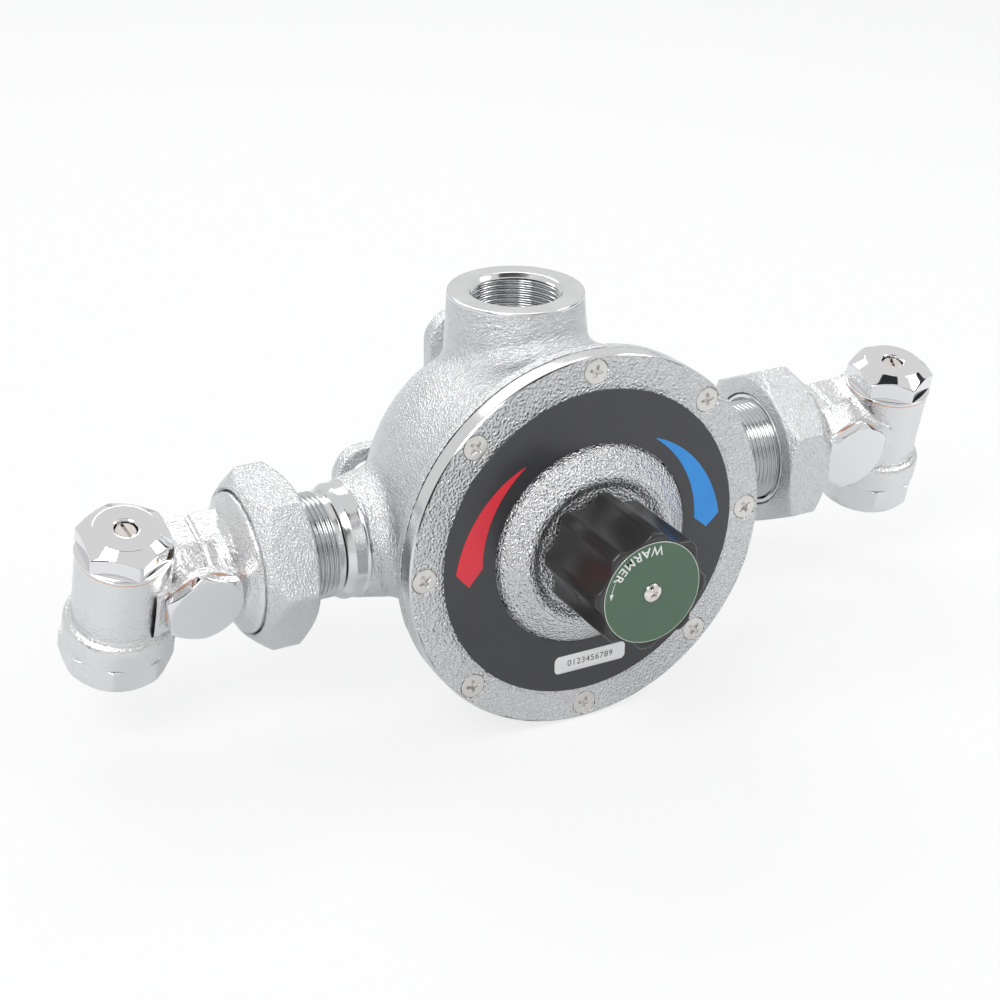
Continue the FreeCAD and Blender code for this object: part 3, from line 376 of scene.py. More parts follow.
def rolled_foot(radius, top, tip, centre_drop=0.0):
    """Boss on the bowl with a rolling-ball fillet, about Z, its bowl centre at (-BOWL_AHEAD, 0).

    A ball of radius BLEND touches both the boss cylinder and the bowl.  Its centre is on the
    offset cylinder and the offset bowl; the fillet is the arc between its two touching points.
    """
    t = np.linspace(0, 2 * np.pi, 192, endpoint=False)
    away = radius + BLEND
    x, y = away * np.cos(t), away * np.sin(t)
    ahead = x + BOWL_AHEAD
    drop = y + centre_drop
    on_ball = ahead > 0
    flat = drop ** 2 + np.where(on_ball, ahead ** 2, 0)
    high = np.sqrt((BOWL + BLEND) ** 2 - flat)
    ball = np.stack([x, y, high], -1)
    heart = np.stack([np.where(on_ball, -BOWL_AHEAD, x), 0 * t - centre_drop, 0 * t], -1)
    to_boss = -np.stack([np.cos(t), np.sin(t), 0 * t], -1)
    to_bowl = (heart - ball) / np.linalg.norm(heart - ball, axis=-1, keepdims=True)
    angle = np.arccos((to_boss * to_bowl).sum(-1))[:, None]
    share = np.linspace(0, 1, 14)[:, None, None]
    turn = (np.sin((1 - share) * angle) * to_bowl + np.sin(share * angle) * to_boss) / np.sin(angle)
    fillet = ball + BLEND * turn
    rows = np.linspace(0, 1, 16)[1:, None]
    wall_high = high + (top - high) * rows
    reach = radius + (tip - radius) * rows
    wall = np.stack([reach * np.cos(t), reach * np.sin(t), wall_high], -1)
    return np.concatenate([fillet, wall])


quarter = np.linspace(0.02, np.pi / 2, 60)
bowl_line = np.concatenate([
    np.stack([BOWL * np.sin(quarter), -BOWL * np.cos(quarter)], -1),
    outline((BOWL, 1.5), (BOWL, 26, 6), (83.6, 36.5, 2.5), (84.4, 38.8, 1.2),
            (86.6, 39.3, 0.5), (86.8, 44.1, 0.4), (72, 44.2)),
])
bowl = stood(swept(bowl_line, 256), (0, -BOWL_AHEAD, 0), (0, -1, 0), (1, 0, 0))

# the hub's local X points to the wall, so the bowl's centre lies at -BOWL_AHEAD on it
hub = stood(rolled_foot(HUB, HUB_CAST, HUB_TIP), (0, 0, 0), (0, 0, 1), (0, 1, 0))
hub_top = swept(outline((HUB_TIP, HUB_CAST), (HUB_TIP, HUB_TOP, 0.8), (21.2, HUB_TOP, 0.4),
                        (19.7, 91.3, 0.3), (19.2, 91)))
hub_top = stood(hub_top, (0, 0, 0), (0, 0, 1), (0, 1, 0))
sheets = [(roughened(bowl, **CAST_SKIN), cast, True), (roughened(hub, **CAST_SKIN), cast, True),
          (hub_top, turned, True)]
for side in (-1, 1):
    # local X points to the wall, so the second axis is down on the right and up on the left
    boss = rolled_foot(BOSS, BOSS_CAST, BOSS_TIP, -INLET_DROP * side)
    boss = stood(boss, (0, 0, -INLET_DROP), (side, 0, 0), (0, 1, 0))
    band = outline((BOSS_TIP, BOSS_CAST), (26.6, 84.6, 0.4), (26.1, 85, 0.2), (26.1, 90.5, 0.4),
                   (24.2, 93.6, 0.4), (22.9, 94.2, 0.3), (22.9, 97.2), reach=1.0)
    band = stood(swept(band), (0, 0, -INLET_DROP), (side, 0, 0), (0, 1, 0))
    sheets += [(roughened(boss, **CAST_SKIN), cast, True), (band, turned, True)]


def lug(centre, toward, long):
    """Ear about its hole: the half of the outer ring nearer the pad is pushed `long` toward it."""
    half = np.linspace(-np.pi / 2, np.pi / 2, 33)
    ring = np.concatenate([half, half + np.pi])
    shift = np.concatenate([0 * half, 0 * half + long])
    side = np.cross((0, -1, 0), toward)
    away = -np.array(toward, float)
    face = outline((LUG_HOLE, 0), (LUG_HOLE, LUG_THICK, 0.7), (LUG_RIM, LUG_THICK, 1.2), (LUG_RIM, 0),
                   reach=1.4)
    share = np.clip((face[:, :1] - LUG_HOLE) / (LUG_RIM - LUG_HOLE), 0, 1)
    a = face[:, :1] * np.cos(ring) - share * shift
    b = face[:, :1] * np.sin(ring)
    spots = a[..., None] * away + b[..., None] * side
    return np.array(centre) + spots + face[:, 1][:, None, None] * np.array((0, -1, 0))


for centre, toward, long in (((0, WALL, TOP_LUG_UP), (0, 0, -1), 44),
                             ((-SIDE_LUG_OUT, WALL, -INLET_DROP), (1, 0, 0), 40),
                             ((SIDE_LUG_OUT, WALL, -INLET_DROP), (-1, 0, 0), 40)):
    sheets.append((roughened(lug(centre, toward, long), 0.12, 6, 4), cast, True))
pad = outline((0.01, 0), (PAD - 1, 0, 0.8), (PAD, 1, 0.5), (PAD, PAD_DEEP), reach=3)
sheets.append((stood(swept(pad[::-1]), (0, WALL, 0), (0, -1, 0), (1, 0, 0))[::-1], cast, True))
made("body_casting", sheets, "valve", ["body"])

# ---------------------------------------------------------------------------------------------
# Inlet necks and outlet thread.  Long straight threads turned on the body's two necks, which let
# the unions be set in or out, and a female pipe thread in the hub.
# ---------------------------------------------------------------------------------------------
NECK = 24.0
NECK_END = 137.0
PITCH = 25.4 / 11.5
TOOTH = 1.15


def threaded(start, end, radius, inward=False, columns=128, taper=0.0):
    """Screw surface about Z: radius less TOOTH times a saw of (height / pitch - turn).

    The saw is cut flat at crest and root.  A male thread fades out over the last 2.5, and a
    female one is the same saw upside down, its radius growing by taper with the height.
    """
    t = np.linspace(0, 2 * np.pi, columns, endpoint=False)
    high = np.arange(start, end, PITCH / 9)[:, None]
    saw = np.abs((high / PITCH - t / (2 * np.pi)) % 1 * 2 - 1)
    flank = np.clip((saw - 0.14) / 0.72, 0, 1)
    run_out = np.clip((end - high) / 2.5, 0, 1) if not inward else 1
    depth = TOOTH * (flank if not inward else 1 - flank)
    r = radius - depth - (1 - run_out) * 0.5 + taper * (high - start)
    grid = np.stack([r * np.cos(t), r * np.sin(t), high + 0 * t], -1)
    return grid[::-1] if inward else grid


screwed = plated("cut_thread", (0.60, 0.61, 0.62), (0.12, 0.22), 500, 0.0, 0.00002)
bore_dull = plated("bore_plating", (0.62, 0.60, 0.58), (0.25, 0.4), 600, 0.3, 0.0001)
for side, name in ((-1, "left_neck"), (1, "right_neck")):
    neck = threaded(97.0, NECK_END - 0.6, NECK)
    tip = swept(outline((NECK - 1.4, NECK_END - 0.7), (NECK - 1.8, NECK_END, 0.2), (12.6, NECK_END, 0.5),
                        (12, NECK_END - 1), (12, 60)), 96)
    made(name, [(stood(g, (0, 0, -INLET_DROP), (side, 0, 0), (0, 1, 0)), m, True)
                for g, m in ((neck, screwed), (tip, bore_dull))], "valve")
socket = threaded(66.0, 91.3, 19.9, inward=True, taper=0.012)
well = swept(outline((19.2, 66.4), (17.4, 65.6), (17.4, 52)), 96)
made("outlet_thread", [(socket, screwed, True), (well, bore_dull, True)], "valve")

# ---------------------------------------------------------------------------------------------
# Cover and its gasket.  Round cast cover with a turned rim, eight countersunk holes and a raised
# crest round the dish that the knob sits in; a thin sheet gasket shows at the joint.
# ---------------------------------------------------------------------------------------------
FACE = 70.5
RIM = 87.0
SCREW_RING = 80.0
rough_face = plated("face_plating", (0.74, 0.745, 0.755), (0.15, 0.26), 820, 0.9, 0.00085)
FIELD_IN = 7.0
FIELD_OUT = 6.4
SINK = 6.15
rim_line = outline((66, 62.0), (RIM - 0.6, 62.0, 0.5), (RIM, 62.6, 0.3), (RIM, 69.8, 0.5), (RIM - 0.6, FACE))
ring_line = outline((SCREW_RING - FIELD_IN, FACE), (46.4, FACE, 0.6), (46.1, 72.3, 0.7), (44.9, 74.0, 1.4),
                    (36.2, 79.0, 1.6), (33.8, 79.5, 1.2), (32.2, 78.9, 0.8), (28.8, 76.3, 0.8),
                    (10.2, 76.1, 0.3), (10.0, 84.1, 0.3), (8.2, 84.1))
front = dict(origin=(0, 0, 0), along=(0, -1, 0), first=(1, 0, 0))


def screw_field():
    """One eighth of the face round its screw hole.

    Rays from the hole's centre run to the edge of a sector that reaches FIELD_IN inward and
    FIELD_OUT outward; points lie on each ray, closer near the hole, measured along the arc and
    the radius, and the first rows sink down the cone.
    """
    half = np.pi / 8 * SCREW_RING
    corners = np.arctan2([FIELD_OUT, FIELD_OUT, -FIELD_IN, -FIELD_IN],
                         [half, -half, -half, half]) % (2 * np.pi)
    marks = np.sort(corners)
    spans = np.concatenate([marks, marks[:1] + 2 * np.pi])
    t = np.concatenate([np.linspace(spans[i], spans[i + 1], 24, endpoint=False) for i in range(4)])
    limit_a = half / np.maximum(np.abs(np.cos(t)), 1e-9)
    limit_b = np.where(np.sin(t) > 0, FIELD_OUT, FIELD_IN) / np.maximum(np.abs(np.sin(t)), 1e-9)
    far = np.minimum(limit_a, limit_b)
    sink = np.array([[3.2, 2.9], [4.6, 1.5], [5.7, 0.35], [5.95, 0.08], [SINK, 0.0]])
    share = np.linspace(0, 1, 26)[1:, None] ** 1.25
    reach = np.concatenate([sink[:, :1] + 0 * t, SINK + (far - SINK) * share])
    deep = np.concatenate([sink[:, 1:] + 0 * t, 0 * (far * share)])
    around, out = reach * np.cos(t), reach * np.sin(t)
    turn, r = around / SCREW_RING, SCREW_RING + out
    return np.stack([r * np.cos(turn), -r * np.sin(turn), FACE - deep], -1)[:, ::-1]


field = screw_field()
sheets = [(stood(swept(rim_line, 256), **front), turned, True),
          (stood(swept(ring_line, 256), **front), rough_face, True)]
for k in range(8):
    a = k * np.pi / 4
    spun = field @ np.array([[np.cos(a), np.sin(a), 0], [-np.sin(a), np.cos(a), 0], [0, 0, 1]])
    sheets.append((stood(spun, **front), rough_face, True))
made("cover_casting", sheets, "valve", ["cover"])

sheet_rubber = bpy.data.materials.new("gasket_rubber")
sheet_rubber.use_nodes = True
shader = sheet_rubber.node_tree.nodes["Principled BSDF"]
shader.inputs["Base Color"].default_value = (0.02, 0.02, 0.02, 1)
shader.inputs["Roughness"].default_value = 0.7
gasket = outline((66, 61.25), (RIM - 1, 61.25, 0.2), (RIM - 0.9, 61.6), (RIM - 1, 61.95, 0.2), (66, 61.95))
gasket = stood(swept(gasket, 192), **front)
made("joint_gasket", [(gasket, sheet_rubber, True)], "valve", ["cover_gasket"])

# ---------------------------------------------------------------------------------------------
# Cover screws.  Eight stainless countersunk screws with cross recesses, each left at its own turn.
# ---------------------------------------------------------------------------------------------
HEAD = 5.55
HEAD_EDGE = 0.22
stainless = plated("stainless", (0.72, 0.70, 0.67), (0.2, 0.34), 900, 0.1, 0.00003)


def cross_head(radius, rise, wing, deep, rows=56, columns=160):
    """Screw head disc about Z with a cross recess.

    Height = rise (1 - (r / radius)^2), less the rounding of the edge, less a recess.  The recess
    is deep where the nearer of the two arms is narrow enough, with sloped sides, and it shallows
    toward the arm's ends.
    """
    t = np.linspace(0, 2 * np.pi, columns, endpoint=False)
    r = radius * np.linspace(0.004, 1, rows)[:, None] ** 0.9
    x, y = r * np.cos(t), r * np.sin(t)
    across, along = np.minimum(abs(x), abs(y)), np.maximum(abs(x), abs(y))
    wide = wing * (0.30 - 0.14 * along / wing)
    side = np.clip((wide - across) / 0.22 + 0.5, 0, 1)
    end = np.clip((wing - along) / 0.3 + 0.5, 0, 1)
    dip = deep * np.clip(1.25 - along / wing, 0.3, 1) * side * end
    dome = rise * (1 - (r / radius) ** 2)
    edge = -HEAD_EDGE * np.clip((r / radius - 0.93) / 0.07, 0, 1) ** 2
    return np.stack([x, y, dome + edge - dip], -1)[::-1]


sheets = []
for k in range(8):
    a = k * np.pi / 4
    head = cross_head(HEAD, 0.25, 3.1, 1.7)
    twist = 0.5 + 1.17 * k
    first = (np.cos(twist), 0, np.sin(twist))
    place = (SCREW_RING * np.cos(a), -FACE + 0.12, SCREW_RING * np.sin(a))
    sheets.append((stood(head, place, (0, -1, 0), first), stainless, True))
    skirt = swept(outline((3.2, -3.0), (HEAD, -HEAD_EDGE)), 160)
    sheets.append((stood(skirt, place, (0, -1, 0), first), stainless, True))
made("cover_screw_heads", sheets, "valve", ["cover_screws"])

# ---------------------------------------------------------------------------------------------
# Dial plate.  Thin black enamelled ring on the cover with a red and a blue sweep that swell from
# a fine tip to a blunt arrow point, and a small white label at the bottom.
# ---------------------------------------------------------------------------------------------


def painted(name, colour, rough, grains=900, depth=0.00002, coat=0.0):
    """Paint or print: plain colour with a little drift, fine grain and an optional clear coat."""
    material = bpy.data.materials.new(name)
    material.use_nodes = True
    tree = material.node_tree
    shader = tree.nodes["Principled BSDF"]
    shader.inputs["Coat Weight"].default_value = coat
    shader.inputs["Coat Roughness"].default_value = 0.12
    grain = tree.nodes.new("ShaderNodeGroup")
    grain.node_tree = sand_grain
    grain.inputs[0].default_value = grains
    grain.inputs[1].default_value = 0.2
    shades = tree.nodes.new("ShaderNodeValToRGB")
    shades.color_ramp.elements[0].color = (*[c * 0.86 for c in colour], 1)
    shades.color_ramp.elements[1].color = (*[min(1, c * 1.1) for c in colour], 1)
    tree.links.new(grain.outputs["Shade"], shades.inputs["Fac"])
    tree.links.new(shades.outputs["Color"], shader.inputs["Base Color"])
    shader.inputs["Roughness"].default_value = rough
    bump = tree.nodes.new("ShaderNodeBump")
    bump.inputs["Distance"].default_value = depth
    tree.links.new(grain.outputs["Height"], bump.inputs["Height"])
    tree.links.new(bump.outputs["Normal"], shader.inputs["Normal"])
    return material


PLATE_FRONT = 71.3
PRINT_LIFT = 0.06
LABEL_AT = (1.5, -57)
enamel = painted("black_enamel", (0.035, 0.035, 0.038), 0.32, coat=0.3)
red = painted("red_print", (0.78, 0.03, 0.05), 0.35)
blue = painted("blue_print", (0.03, 0.30, 0.80), 0.35)
label_white = painted("label_white", (0.85, 0.85, 0.84), 0.5)
ink = painted("label_ink", (0.05, 0.05, 0.05), 0.5)
plate = outline((46.9, FACE), (46.9, PLATE_FRONT, 0.15), (71.4, PLATE_FRONT, 0.2), (71.4, FACE), reach=3)
plate = stood(swept(plate[::-1], 256), **front)
made("dial_ring", [(plate, enamel, True)], "valve", ["dial_plate"])


def sweep_band(tip_deg, root_deg, point_deg, inner, outer, point_r, tip_r):
    """Curved arrow on the plate: its two edges run from the tip to the root, then meet at the point.

    From tip to root the inner edge's radius changes evenly, and the outer one's with the share
    of the way raised to 0.9.
    """
    share = np.linspace(0, 1, 60)
    deg = tip_deg + (root_deg - tip_deg) * share
    low = tip_r + (inner - tip_r) * share
    high = tip_r + 0.3 + (outer - tip_r - 0.3) * share ** 0.9
    last = np.linspace(0, 1, 12)[1:]
    deg = np.concatenate([deg, root_deg + (point_deg - root_deg) * last])
    low = np.concatenate([low, inner + (point_r - inner) * last])
    high = np.concatenate([high, outer + (point_r - outer) * last])
    cross = np.linspace(0, 1, 6)[:, None]
    r = low + (high - low) * cross
    a = np.radians(deg) + 0 * cross
    return np.stack([r * np.cos(a), 0 * r - PLATE_FRONT - PRINT_LIFT, r * np.sin(a)], -1)


red_sweep = sweep_band(127.5, 180, 187, 53.2, 65.9, 59.9, 54.6)
blue_sweep = sweep_band(54.9, 1.0, -4.5, 52.6, 65.4, 59.2, 53.4)
made("red_sweep", [(red_sweep[:, ::-1], red, False)], "valve")
made("blue_sweep", [(blue_sweep, blue, False)], "valve")


def tag(centre, wide, high, corner, level):
    """Flat plate with round corners: a circle's quarters pushed apart, then drawn in to the middle."""
    t = np.linspace(0, 2 * np.pi, 96, endpoint=False)
    reach = np.array([wide / 2 - corner, high / 2 - corner])
    ring = np.stack([np.cos(t), np.sin(t)], -1)
    edge = np.sign(ring) * reach + corner * ring
    share = np.array([1.0, 0.985, 0.5, 0.001])[:, None, None]
    lift = np.array([0.0, 0.12, 0.12, 0.12])[:, None, None]
    spots = edge * share
    return np.concatenate([centre[0] + spots[..., :1], -FACE - level - lift + 0 * spots[..., :1],
                           centre[1] + spots[..., 1:]], -1)


label = tag(LABEL_AT, 36, 8.6, 2.4, 0.8)
made("plain_label", [(label, label_white, True)], "valve")


def lettering(name, words, size, bend, place, along, first, material, body, pitch=1.12, weight=0.0):
    """Words made a mesh; each point is bent round a circle of radius |bend|, then stood in place.

    A negative bend sets the words under the circle's centre, and 0 leaves them straight.
    """
    curve = bpy.data.curves.new(name, "FONT")
    curve.body = words
    curve.size = size
    curve.align_x = "CENTER"
    curve.align_y = "CENTER"
    curve.space_character = pitch
    curve.offset = weight
    holder = bpy.data.objects.new(name + "_curve", curve)
    scene.collection.objects.link(holder)
    bpy.context.view_layer.update()
    mesh = bpy.data.meshes.new_from_object(holder.evaluated_get(bpy.context.evaluated_depsgraph_get()))
    bpy.data.objects.remove(holder)
    spots = np.empty(len(mesh.vertices) * 3, np.float32)
    mesh.vertices.foreach_get("co", spots)
    spots = spots.reshape(-1, 3)
    if bend:
        sign = np.sign(bend)
        turn, r = spots[:, 0] / abs(bend), abs(bend) + spots[:, 1] * sign
        spots = np.stack([r * np.sin(turn), sign * r * np.cos(turn), 0 * r], -1)
    spots = stood(spots, place, along, first)
    mesh.vertices.foreach_set("co", ((spots - (0, WALL, 0)) / 1000).astype(np.float32).ravel())
    mesh.materials.clear()
    mesh.materials.append(material)
    mesh.update()
    piece = bpy.data.objects.new(name, mesh)
    scene.collection.objects.link(piece)
    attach(piece, body)


lettering("label_number", "0123456789", 4.2, 0, (LABEL_AT[0], -FACE - 0.96, LABEL_AT[1]),
          (0, -1, 0), (1, 0, 0), ink, "valve")

# ---------------------------------------------------------------------------------------------
# Knob.  Moulded black phenolic with eight shallow flutes, pressed on the spindle and held by a
# set screw in one flute and by the screw through the printed disc on its face.
# ---------------------------------------------------------------------------------------------
KNOB = 27.0
KNOB_BACK = 77.0
KNOB_FRONT = 121.2
FLUTE_TURN = math.radians(19.1)
FLUTE_OUT = 38.1
FLUTE_RADIUS = 14.5
FLUTE_FLOOR = FLUTE_OUT - FLUTE_RADIUS
MEETING = 3
phenolic = painted("phenolic", (0.022, 0.021, 0.021), 0.3, 700, 0.00003, 0.25)


def fluted(t):
    """Radius of the knob at the angles t: the lobe circle, or the near side of the flute's circle.

    A flute is a circle of FLUTE_RADIUS round a point FLUTE_OUT from the axis.  The two meet in
    -log(exp(-m a) + exp(-m b)) / m, with m = MEETING per millimetre.
    """
    off = (t - FLUTE_TURN + np.pi / 8) % (np.pi / 4) - np.pi / 8
    under = np.maximum(FLUTE_RADIUS ** 2 - (FLUTE_OUT * np.sin(off)) ** 2, 0)
    flute = np.where(under > 0, FLUTE_OUT * np.cos(off) - np.sqrt(under), KNOB + 3)
    return -np.log(np.exp(-KNOB * MEETING) + np.exp(-flute * MEETING)) / MEETING


turns = np.linspace(0, 2 * np.pi, 480, endpoint=False)
skin = fluted(turns)
high = np.concatenate([[77.2, 77.6], np.linspace(78, 119.6, 96)])[:, None]
reach = skin - np.where(high < 77.9, (77.9 - high) * 0.5, 0)
screw_turn, screw_high = FLUTE_TURN + np.pi, KNOB_BACK + 21
gap = np.hypot(((turns - screw_turn + np.pi) % (2 * np.pi) - np.pi) * FLUTE_FLOOR, high - screw_high)
reach = reach - 2.2 * np.clip((2.15 - gap) / 0.3, 0, 1)
side_rows = np.stack([reach * np.cos(turns), reach * np.sin(turns), high + 0 * turns], -1)
roll = 0.5 + 1.1 * (skin - FLUTE_FLOOR) / (KNOB - FLUTE_FLOOR)
bend = np.linspace(0, np.pi / 2, 8)[:, None]
reach = skin - roll * (1 - np.cos(bend))
lift = KNOB_FRONT - roll * (1 - np.sin(bend))
edge_rows = np.stack([reach * np.cos(turns), reach * np.sin(turns), lift], -1)
pocket_rows = swept(np.array([[23.35, KNOB_FRONT], [23.3, 121.0], [23.3, 120.3], [3.0, 120.3]]), 480)
back_rows = swept(np.array([[18.0, 92.0], [18.0, 77.4], [18.3, KNOB_BACK]]), 480)
knob_skin = np.concatenate([back_rows, side_rows, edge_rows, pocket_rows])
made("knob_moulding", [(stood(knob_skin, **front), phenolic, True)], "knob_set", ["knob"])

# ---------------------------------------------------------------------------------------------
# Knob disc and its screw.  Thin printed green disc with a bare metal edge, a word and an arrow
# for the warmer direction, under a nickel pan-head screw.
# ---------------------------------------------------------------------------------------------
PRINT_FRONT = 121.34
WORD_CENTRE = 115.4
green = painted("green_print", (0.07, 0.14, 0.08), 0.34, 260, 0.00003, 0.2)
bare_edge = plated("bare_edge", (0.62, 0.66, 0.60), (0.2, 0.3), 600, 0.1, 0.00001)
white_print = painted("white_print", (0.80, 0.82, 0.78), 0.45)
nickel = plated("nickel", (0.80, 0.76, 0.72), (0.10, 0.2), 500, 0.1, 0.00001)
field = outline((22.85, 121.26), (0.01, 121.27), reach=2)
edge = outline((23.2, 120.6), (23.2, 121.24, 0.12), (22.85, 121.26))
made("disc_print", [(stood(swept(field, 192), **front), green, True),
                    (stood(swept(edge, 192), **front), bare_edge, True)], "knob_set", ["knob_disc"])
turn = math.radians(WORD_CENTRE + 90)
lettering("warmer_word", "WARMER", 6.0, -19.6, (0, -PRINT_FRONT, 0), (0, -1, 0),
          (math.cos(turn), 0, math.sin(turn)), white_print, "knob_set", 1.1, 0.1)


def bent_arrow(start, end, radius):
    """Thin curved line with a pointed head: width is small, then jumps and falls to nothing."""
    share = np.linspace(0, 1, 49)
    wide = np.where(share < 0.66, 0.22 + 0.3 * share, 1.9 * (1 - share) / 0.34)
    a = np.radians(start + (end - start) * share)
    cross = np.linspace(-0.5, 0.5, 4)[:, None]
    r = radius + wide * cross
    return np.stack([r * np.cos(a), 0 * r - PRINT_FRONT, r * np.sin(a)], -1)


made("warmer_arrow", [(bent_arrow(153.5, 178, 20.1)[:, ::-1], white_print, False)], "knob_set")
PAN = 4.2
pan_stand = dict(origin=(0, -KNOB_FRONT - 0.75, 0), along=(0, -1, 0), first=(math.cos(0.5), 0, math.sin(0.5)))
pan = stood(cross_head(PAN, 1.4, 2.4, 1.6), **pan_stand)
pan_side = swept(outline((PAN - 0.2, -1.1), (PAN, -0.9), (PAN, -0.22)), 160)
pan_side = stood(pan_side, **pan_stand)
made("knob_screw_head", [(pan, nickel, True), (pan_side, nickel, True)], "knob_set", ["knob_screw"])

# ---------------------------------------------------------------------------------------------
# Union nuts.  Large hexagon nuts, cast with plain flats and turned on both faces, that draw the
# stops' collars against the tailpieces on the necks.
# ---------------------------------------------------------------------------------------------
NUT_FLATS = 35.5
NUT_LONG = 24.0
NUT_STAND = 53.0
SIDES = {"left": dict(sign=-1, out=188.5, tilt=math.radians(18.6), nut_turn=math.radians(3)),
         "right": dict(sign=1, out=207.4, tilt=math.radians(12.0), nut_turn=math.radians(33))}


def flats(t, count, half, corner):
    """Distance of a regular polygon's side from the axis at angle t; a corner lies at `corner`."""
    part = 2 * np.pi / count
    return half / np.cos((t - corner) % part - part / 2)


def softly(a, b, power=60):
    """The smaller of two radii, with the crease rounded: (a^-p + b^-p)^(-1/p)."""
    low = np.minimum(a, b)
    return low * ((low / a) ** power + (low / b) ** power) ** (-1 / power)


def faceted(line, count, half, corner, start, end, columns=288, power=70):
    """Outline turned about Z and cut by a polygon's sides between the heights start and end."""
    t = corner + np.linspace(0, 2 * np.pi, columns, endpoint=False)
    r, h = line[:, :1] + 0 * t, line[:, 1:] + 0 * t
    cut_off = softly(r, flats(t, count, half, corner), power)
    r = np.where((h > start) & (h < end), cut_off, r)
    return np.stack([r * np.cos(t), r * np.sin(t), h], -1)


nut_line = outline((27.4, 6.2), (27.4, 0.3, 0.2), (27.8, 0, 0.2), (34.9, 0, 0.5), (41.4, 3.5, 0.6),
                   (41.4, 15.9, 0.6), (33.4, NUT_LONG, 0.5), (32.7, NUT_LONG, 0.3), (31.8, 22.9, 0.2),
                   (31.8, 8), reach=0.9)
for name, side in SIDES.items():
    sign = side["sign"]
    nut = faceted(nut_line, 6, NUT_FLATS, side["nut_turn"] * sign, -0.001, NUT_LONG + 0.001)
    inner = side["out"] - NUT_STAND - NUT_LONG
    nut = stood(nut, (sign * inner, 0, -INLET_DROP), (sign, 0, 0), (0, 1, 0))
    made(f"{name}_nut", [(roughened(nut, 0.05, 5, 8), cast, True)], "valve", [f"{name}_union_nut"])

# ---------------------------------------------------------------------------------------------
# Stop bodies.  Bright cast elbows: a round barrel over an eight-sided pipe end, and a squared arm
# that flares to the round collar held by the union nut.
# ---------------------------------------------------------------------------------------------
bright = plated("bright_plating", (0.76, 0.765, 0.77), (0.16, 0.28), 900, 0.5, 0.00034)
BARREL = 20.4
BARREL_TOP = 21.4
PIPE_FLATS = 23.0
STRAINER_OUT = 30
COLLAR_BORE = 24.9
SWELL = 2.6
barrel_line = outline((15.4, -24), (15.4, -40.0, 0.2), (16.9, -41.5, 0.3), (21.6, -41.5, 0.6),
                      (26.2, -35.6, 0.8), (26.2, -27.7, 0.4), (22.8, -27, 0.3), (23.8, -26.8, 0.2),
                      (23.8, -17.4, 0.8), (23.1, -15.5, 0.7), (20.9, -14.2, 1.0), (BARREL, -12.8, 0.8),
                      (BARREL, BARREL_TOP, 0.3), (17.3, BARREL_TOP), reach=0.8)
# distance from the barrel's axis and radius of the arm's round flare
FLARE = np.array([[0, 16], [30, 16], [39, 16], [44, 19.2], [47, 22.2], [49.4, 26.5], [51.2, 30.5],
                  [52.2, 31.3], [62.6, 31.3], [63.1, 30.8]])


def arm_skin(toward):
    """Arm about the union axis: the nearest of six planes in each direction, corners rounded.

    A groove is sunk round 34.3, and the greater of the skin and the collar's flare is taken.  Near
    the barrel the skin swells by SWELL exp(-gap / 2.2) to make the cast fillet.
    """
    t = np.linspace(0, 2 * np.pi, 288, endpoint=False)
    far = np.concatenate([np.linspace(8, 32, 49), np.linspace(32.3, 36.3, 17),
                          np.linspace(36.8, FLARE[-1, 0], 60)])[:, None]
    look = np.stack([np.cos(t), np.sin(t)], -1)
    slope, under = math.radians(29.4), math.radians(45)
    planes = np.array([[1, 0, 18], [-1, 0, 18], [0, 1, 18], [0, -1, 18],
                       [-math.sin(slope), math.cos(slope), 16.66],
                       [-math.sin(under), -math.sin(under), 21.2]])
    reach = planes[:, 2:] / np.maximum(planes[:, :2] @ look.T, 1e-4)
    skin = (reach ** -26.0).sum(0) ** (-1 / 26)
    groove = np.clip(1 - np.abs((far - 34.3) / 1.5), 0, 1)
    flare = np.interp(far, FLARE[:, 0], FLARE[:, 1])
    r = skin - 1.2 * np.minimum(groove * 1.6, 1) + 0 * far
    r = (r ** 30 + flare ** 30) ** (1 / 30)
    gap = np.hypot(far, r * np.cos(t)) - BARREL
    r = r + SWELL * np.exp(-np.maximum(gap, 0) / 2.2) * (far < 32)
    grid = np.stack([toward * far + 0 * t, r * np.cos(t), r * np.sin(t)], -1)
    rim = grid[-1:] * np.array([1, COLLAR_BORE / FLARE[-1, 1], COLLAR_BORE / FLARE[-1, 1]])
    grid = np.concatenate([grid, rim])
    return grid if toward > 0 else grid[:, ::-1]


def in_stop(grid, side):
    """Turns a grid of the stop's own frame by its tilt about the union axis and sets it out."""
    c, s = math.cos(side["tilt"]), math.sin(side["tilt"])
    x, y, z = grid[..., 0], grid[..., 1], grid[..., 2]
    return np.stack([side["sign"] * side["out"] + x, y * c - z * s, y * s + z * c - INLET_DROP], -1)


for name, side in SIDES.items():
    toward = -side["sign"]
    barrel = faceted(barrel_line, 8, PIPE_FLATS, math.pi / 8, -41.6, -27.0, 320, 150)
    arm = arm_skin(toward)
    plug_boss = swept(outline((17.7, 15), (17.7, 18.6, 0.5), (13.3, 18.6)), 128)
    plug_boss = stood(plug_boss, (STRAINER_OUT * toward, 0, 0), (0, -1, 0), (1, 0, 0))
    sheets = [(in_stop(roughened(barrel, 0.05, 5, 21), side), bright, True),
              (in_stop(roughened(arm, 0.06, 2.6, 22), side), bright, True),
              (in_stop(plug_boss, side), bright, True)]
    made(f"{name}_stop_casting", sheets, f"{name}_stop", [f"{name}_stop_body"])

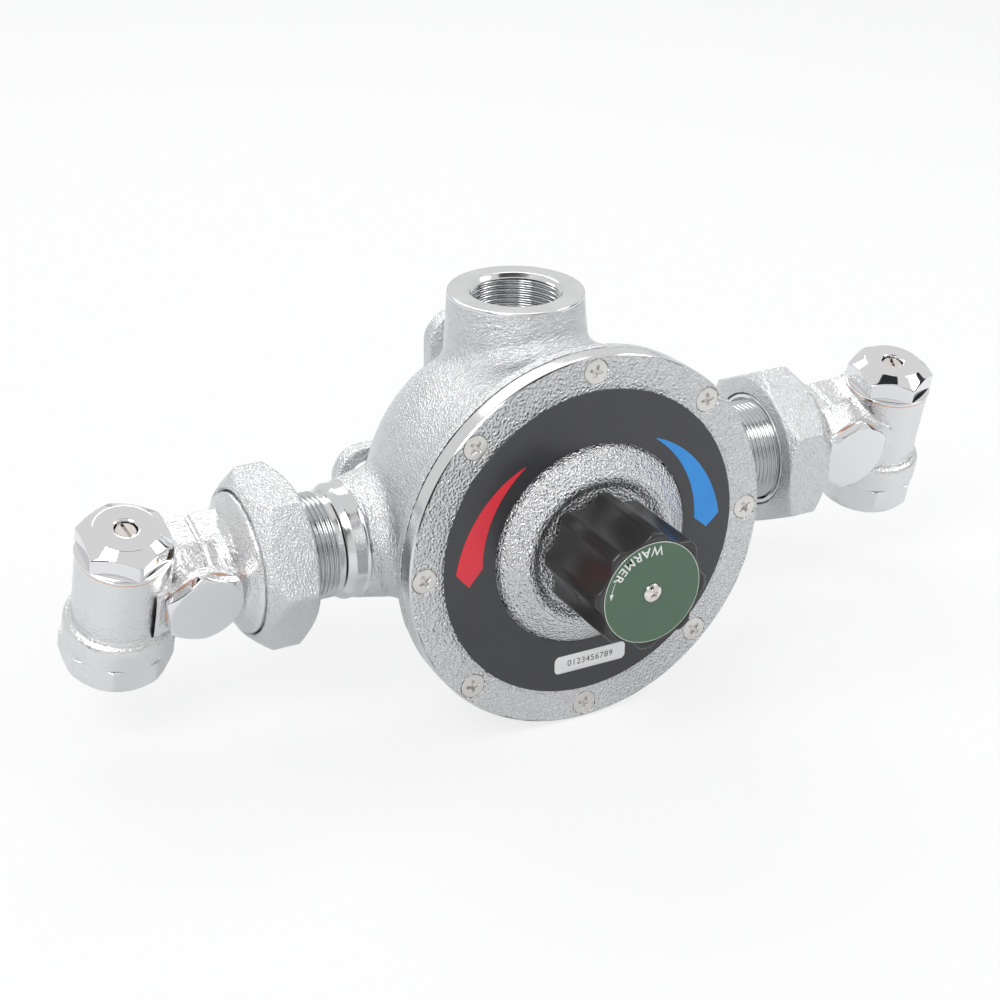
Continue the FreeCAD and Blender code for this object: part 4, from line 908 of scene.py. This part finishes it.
# ---------------------------------------------------------------------------------------------
# Stop caps and strainer plugs.  Turned from hexagon bar and polished; the cap has a round flange,
# a long cone on its hexagon and a hole over the slotted stem, the plug a flat chamfered head.
# ---------------------------------------------------------------------------------------------
CAP_FLATS = 18.2
CAP_TURN = math.radians(28)
CAP_TOP = 35.3
PLUG_FLATS = 16.8
PLUG_TURN = math.radians(38)
mirror = plated("mirror_plating", (0.80, 0.80, 0.81), (0.025, 0.07), 300, 0.0, 0.000003)
cap_line = outline((17.3, 22.1), (20.9, 22.1, 0.2), (20.9, 23.2, 0.25), (20.2, 23.25), (21.4, 23.3),
                   (21.4, 30.1, 0.3), (13.7, CAP_TOP, 0.35), (5.8, CAP_TOP, 0.3), (5.1, 34.8, 0.2),
                   (5.1, 30.4), reach=0.7)
plug_line = outline((15, 19.3), (18.9, 19.35), (18.9, 21.9, 0.3), (16.2, 23.7, 0.3), (0.01, 23.72), reach=0.7)
for name, side in SIDES.items():
    toward = -side["sign"]
    cap = faceted(cap_line, 6, CAP_FLATS, CAP_TURN, 23.26, CAP_TOP - 0.1, power=140)
    made(f"{name}_cap", [(in_stop(cap, side), mirror, True)], f"{name}_stop", [f"{name}_stop_cap"])
    plug = faceted(plug_line, 6, PLUG_FLATS, PLUG_TURN * toward, 19.32, 23.69, power=140)
    plug = stood(plug, (STRAINER_OUT * toward, 0, 0), (0, -1, 0), (1, 0, 0))
    made(f"{name}_plug", [(in_stop(plug, side), mirror, True)], f"{name}_stop", [f"{name}_strainer_plug"])

# ---------------------------------------------------------------------------------------------
# Small turned parts and the insides.  Bronze spindle, sleeve, rotor, discs and cages, copper and
# fibre washers, rubber packing and steel screens and springs, kept as the solids have them.
# ---------------------------------------------------------------------------------------------
bronze = plated("bronze_turned", (0.62, 0.42, 0.22), (0.22, 0.38), 500, 0.2, 0.00002)
copper = plated("copper_washer", (0.70, 0.42, 0.30), (0.2, 0.36), 800, 0.2, 0.00002)
strip = plated("bimetal_strip", (0.56, 0.52, 0.45), (0.25, 0.4), 600, 0.1, 0.00002)
wire = plated("spring_wire", (0.5, 0.5, 0.52), (0.2, 0.35), 900, 0.1, 0.00001)
fibre = painted("red_fibre", (0.30, 0.10, 0.06), 0.7, 1400, 0.00004)
finishes = {
    bronze: ["spindle", "packing_nut", "port_sleeve", "port_rotor"],
    strip: ["bimetal_coil"], sheet_rubber: ["spindle_packing"], stainless: ["knob_set_screw"],
}
for name in SIDES:
    for material, pieces in ((bronze, ("stop_disc", "check_cage")), (nickel, ("stop_stem",)),
                             (copper, ("cap_washer", "plug_washer")), (fibre, ("union_washer",)),
                             (turned, ("union_tail",)), (stainless, ("strainer_screen",)),
                             (wire, ("check_spring",)), (sheet_rubber, ("check_poppet",))):
        finishes.setdefault(material, []).extend(f"{name}_{piece}" for piece in pieces)
for material, pieces in finishes.items():
    for piece in pieces:
        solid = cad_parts[piece]
        solid.data.materials.clear()
        solid.data.materials.append(material)
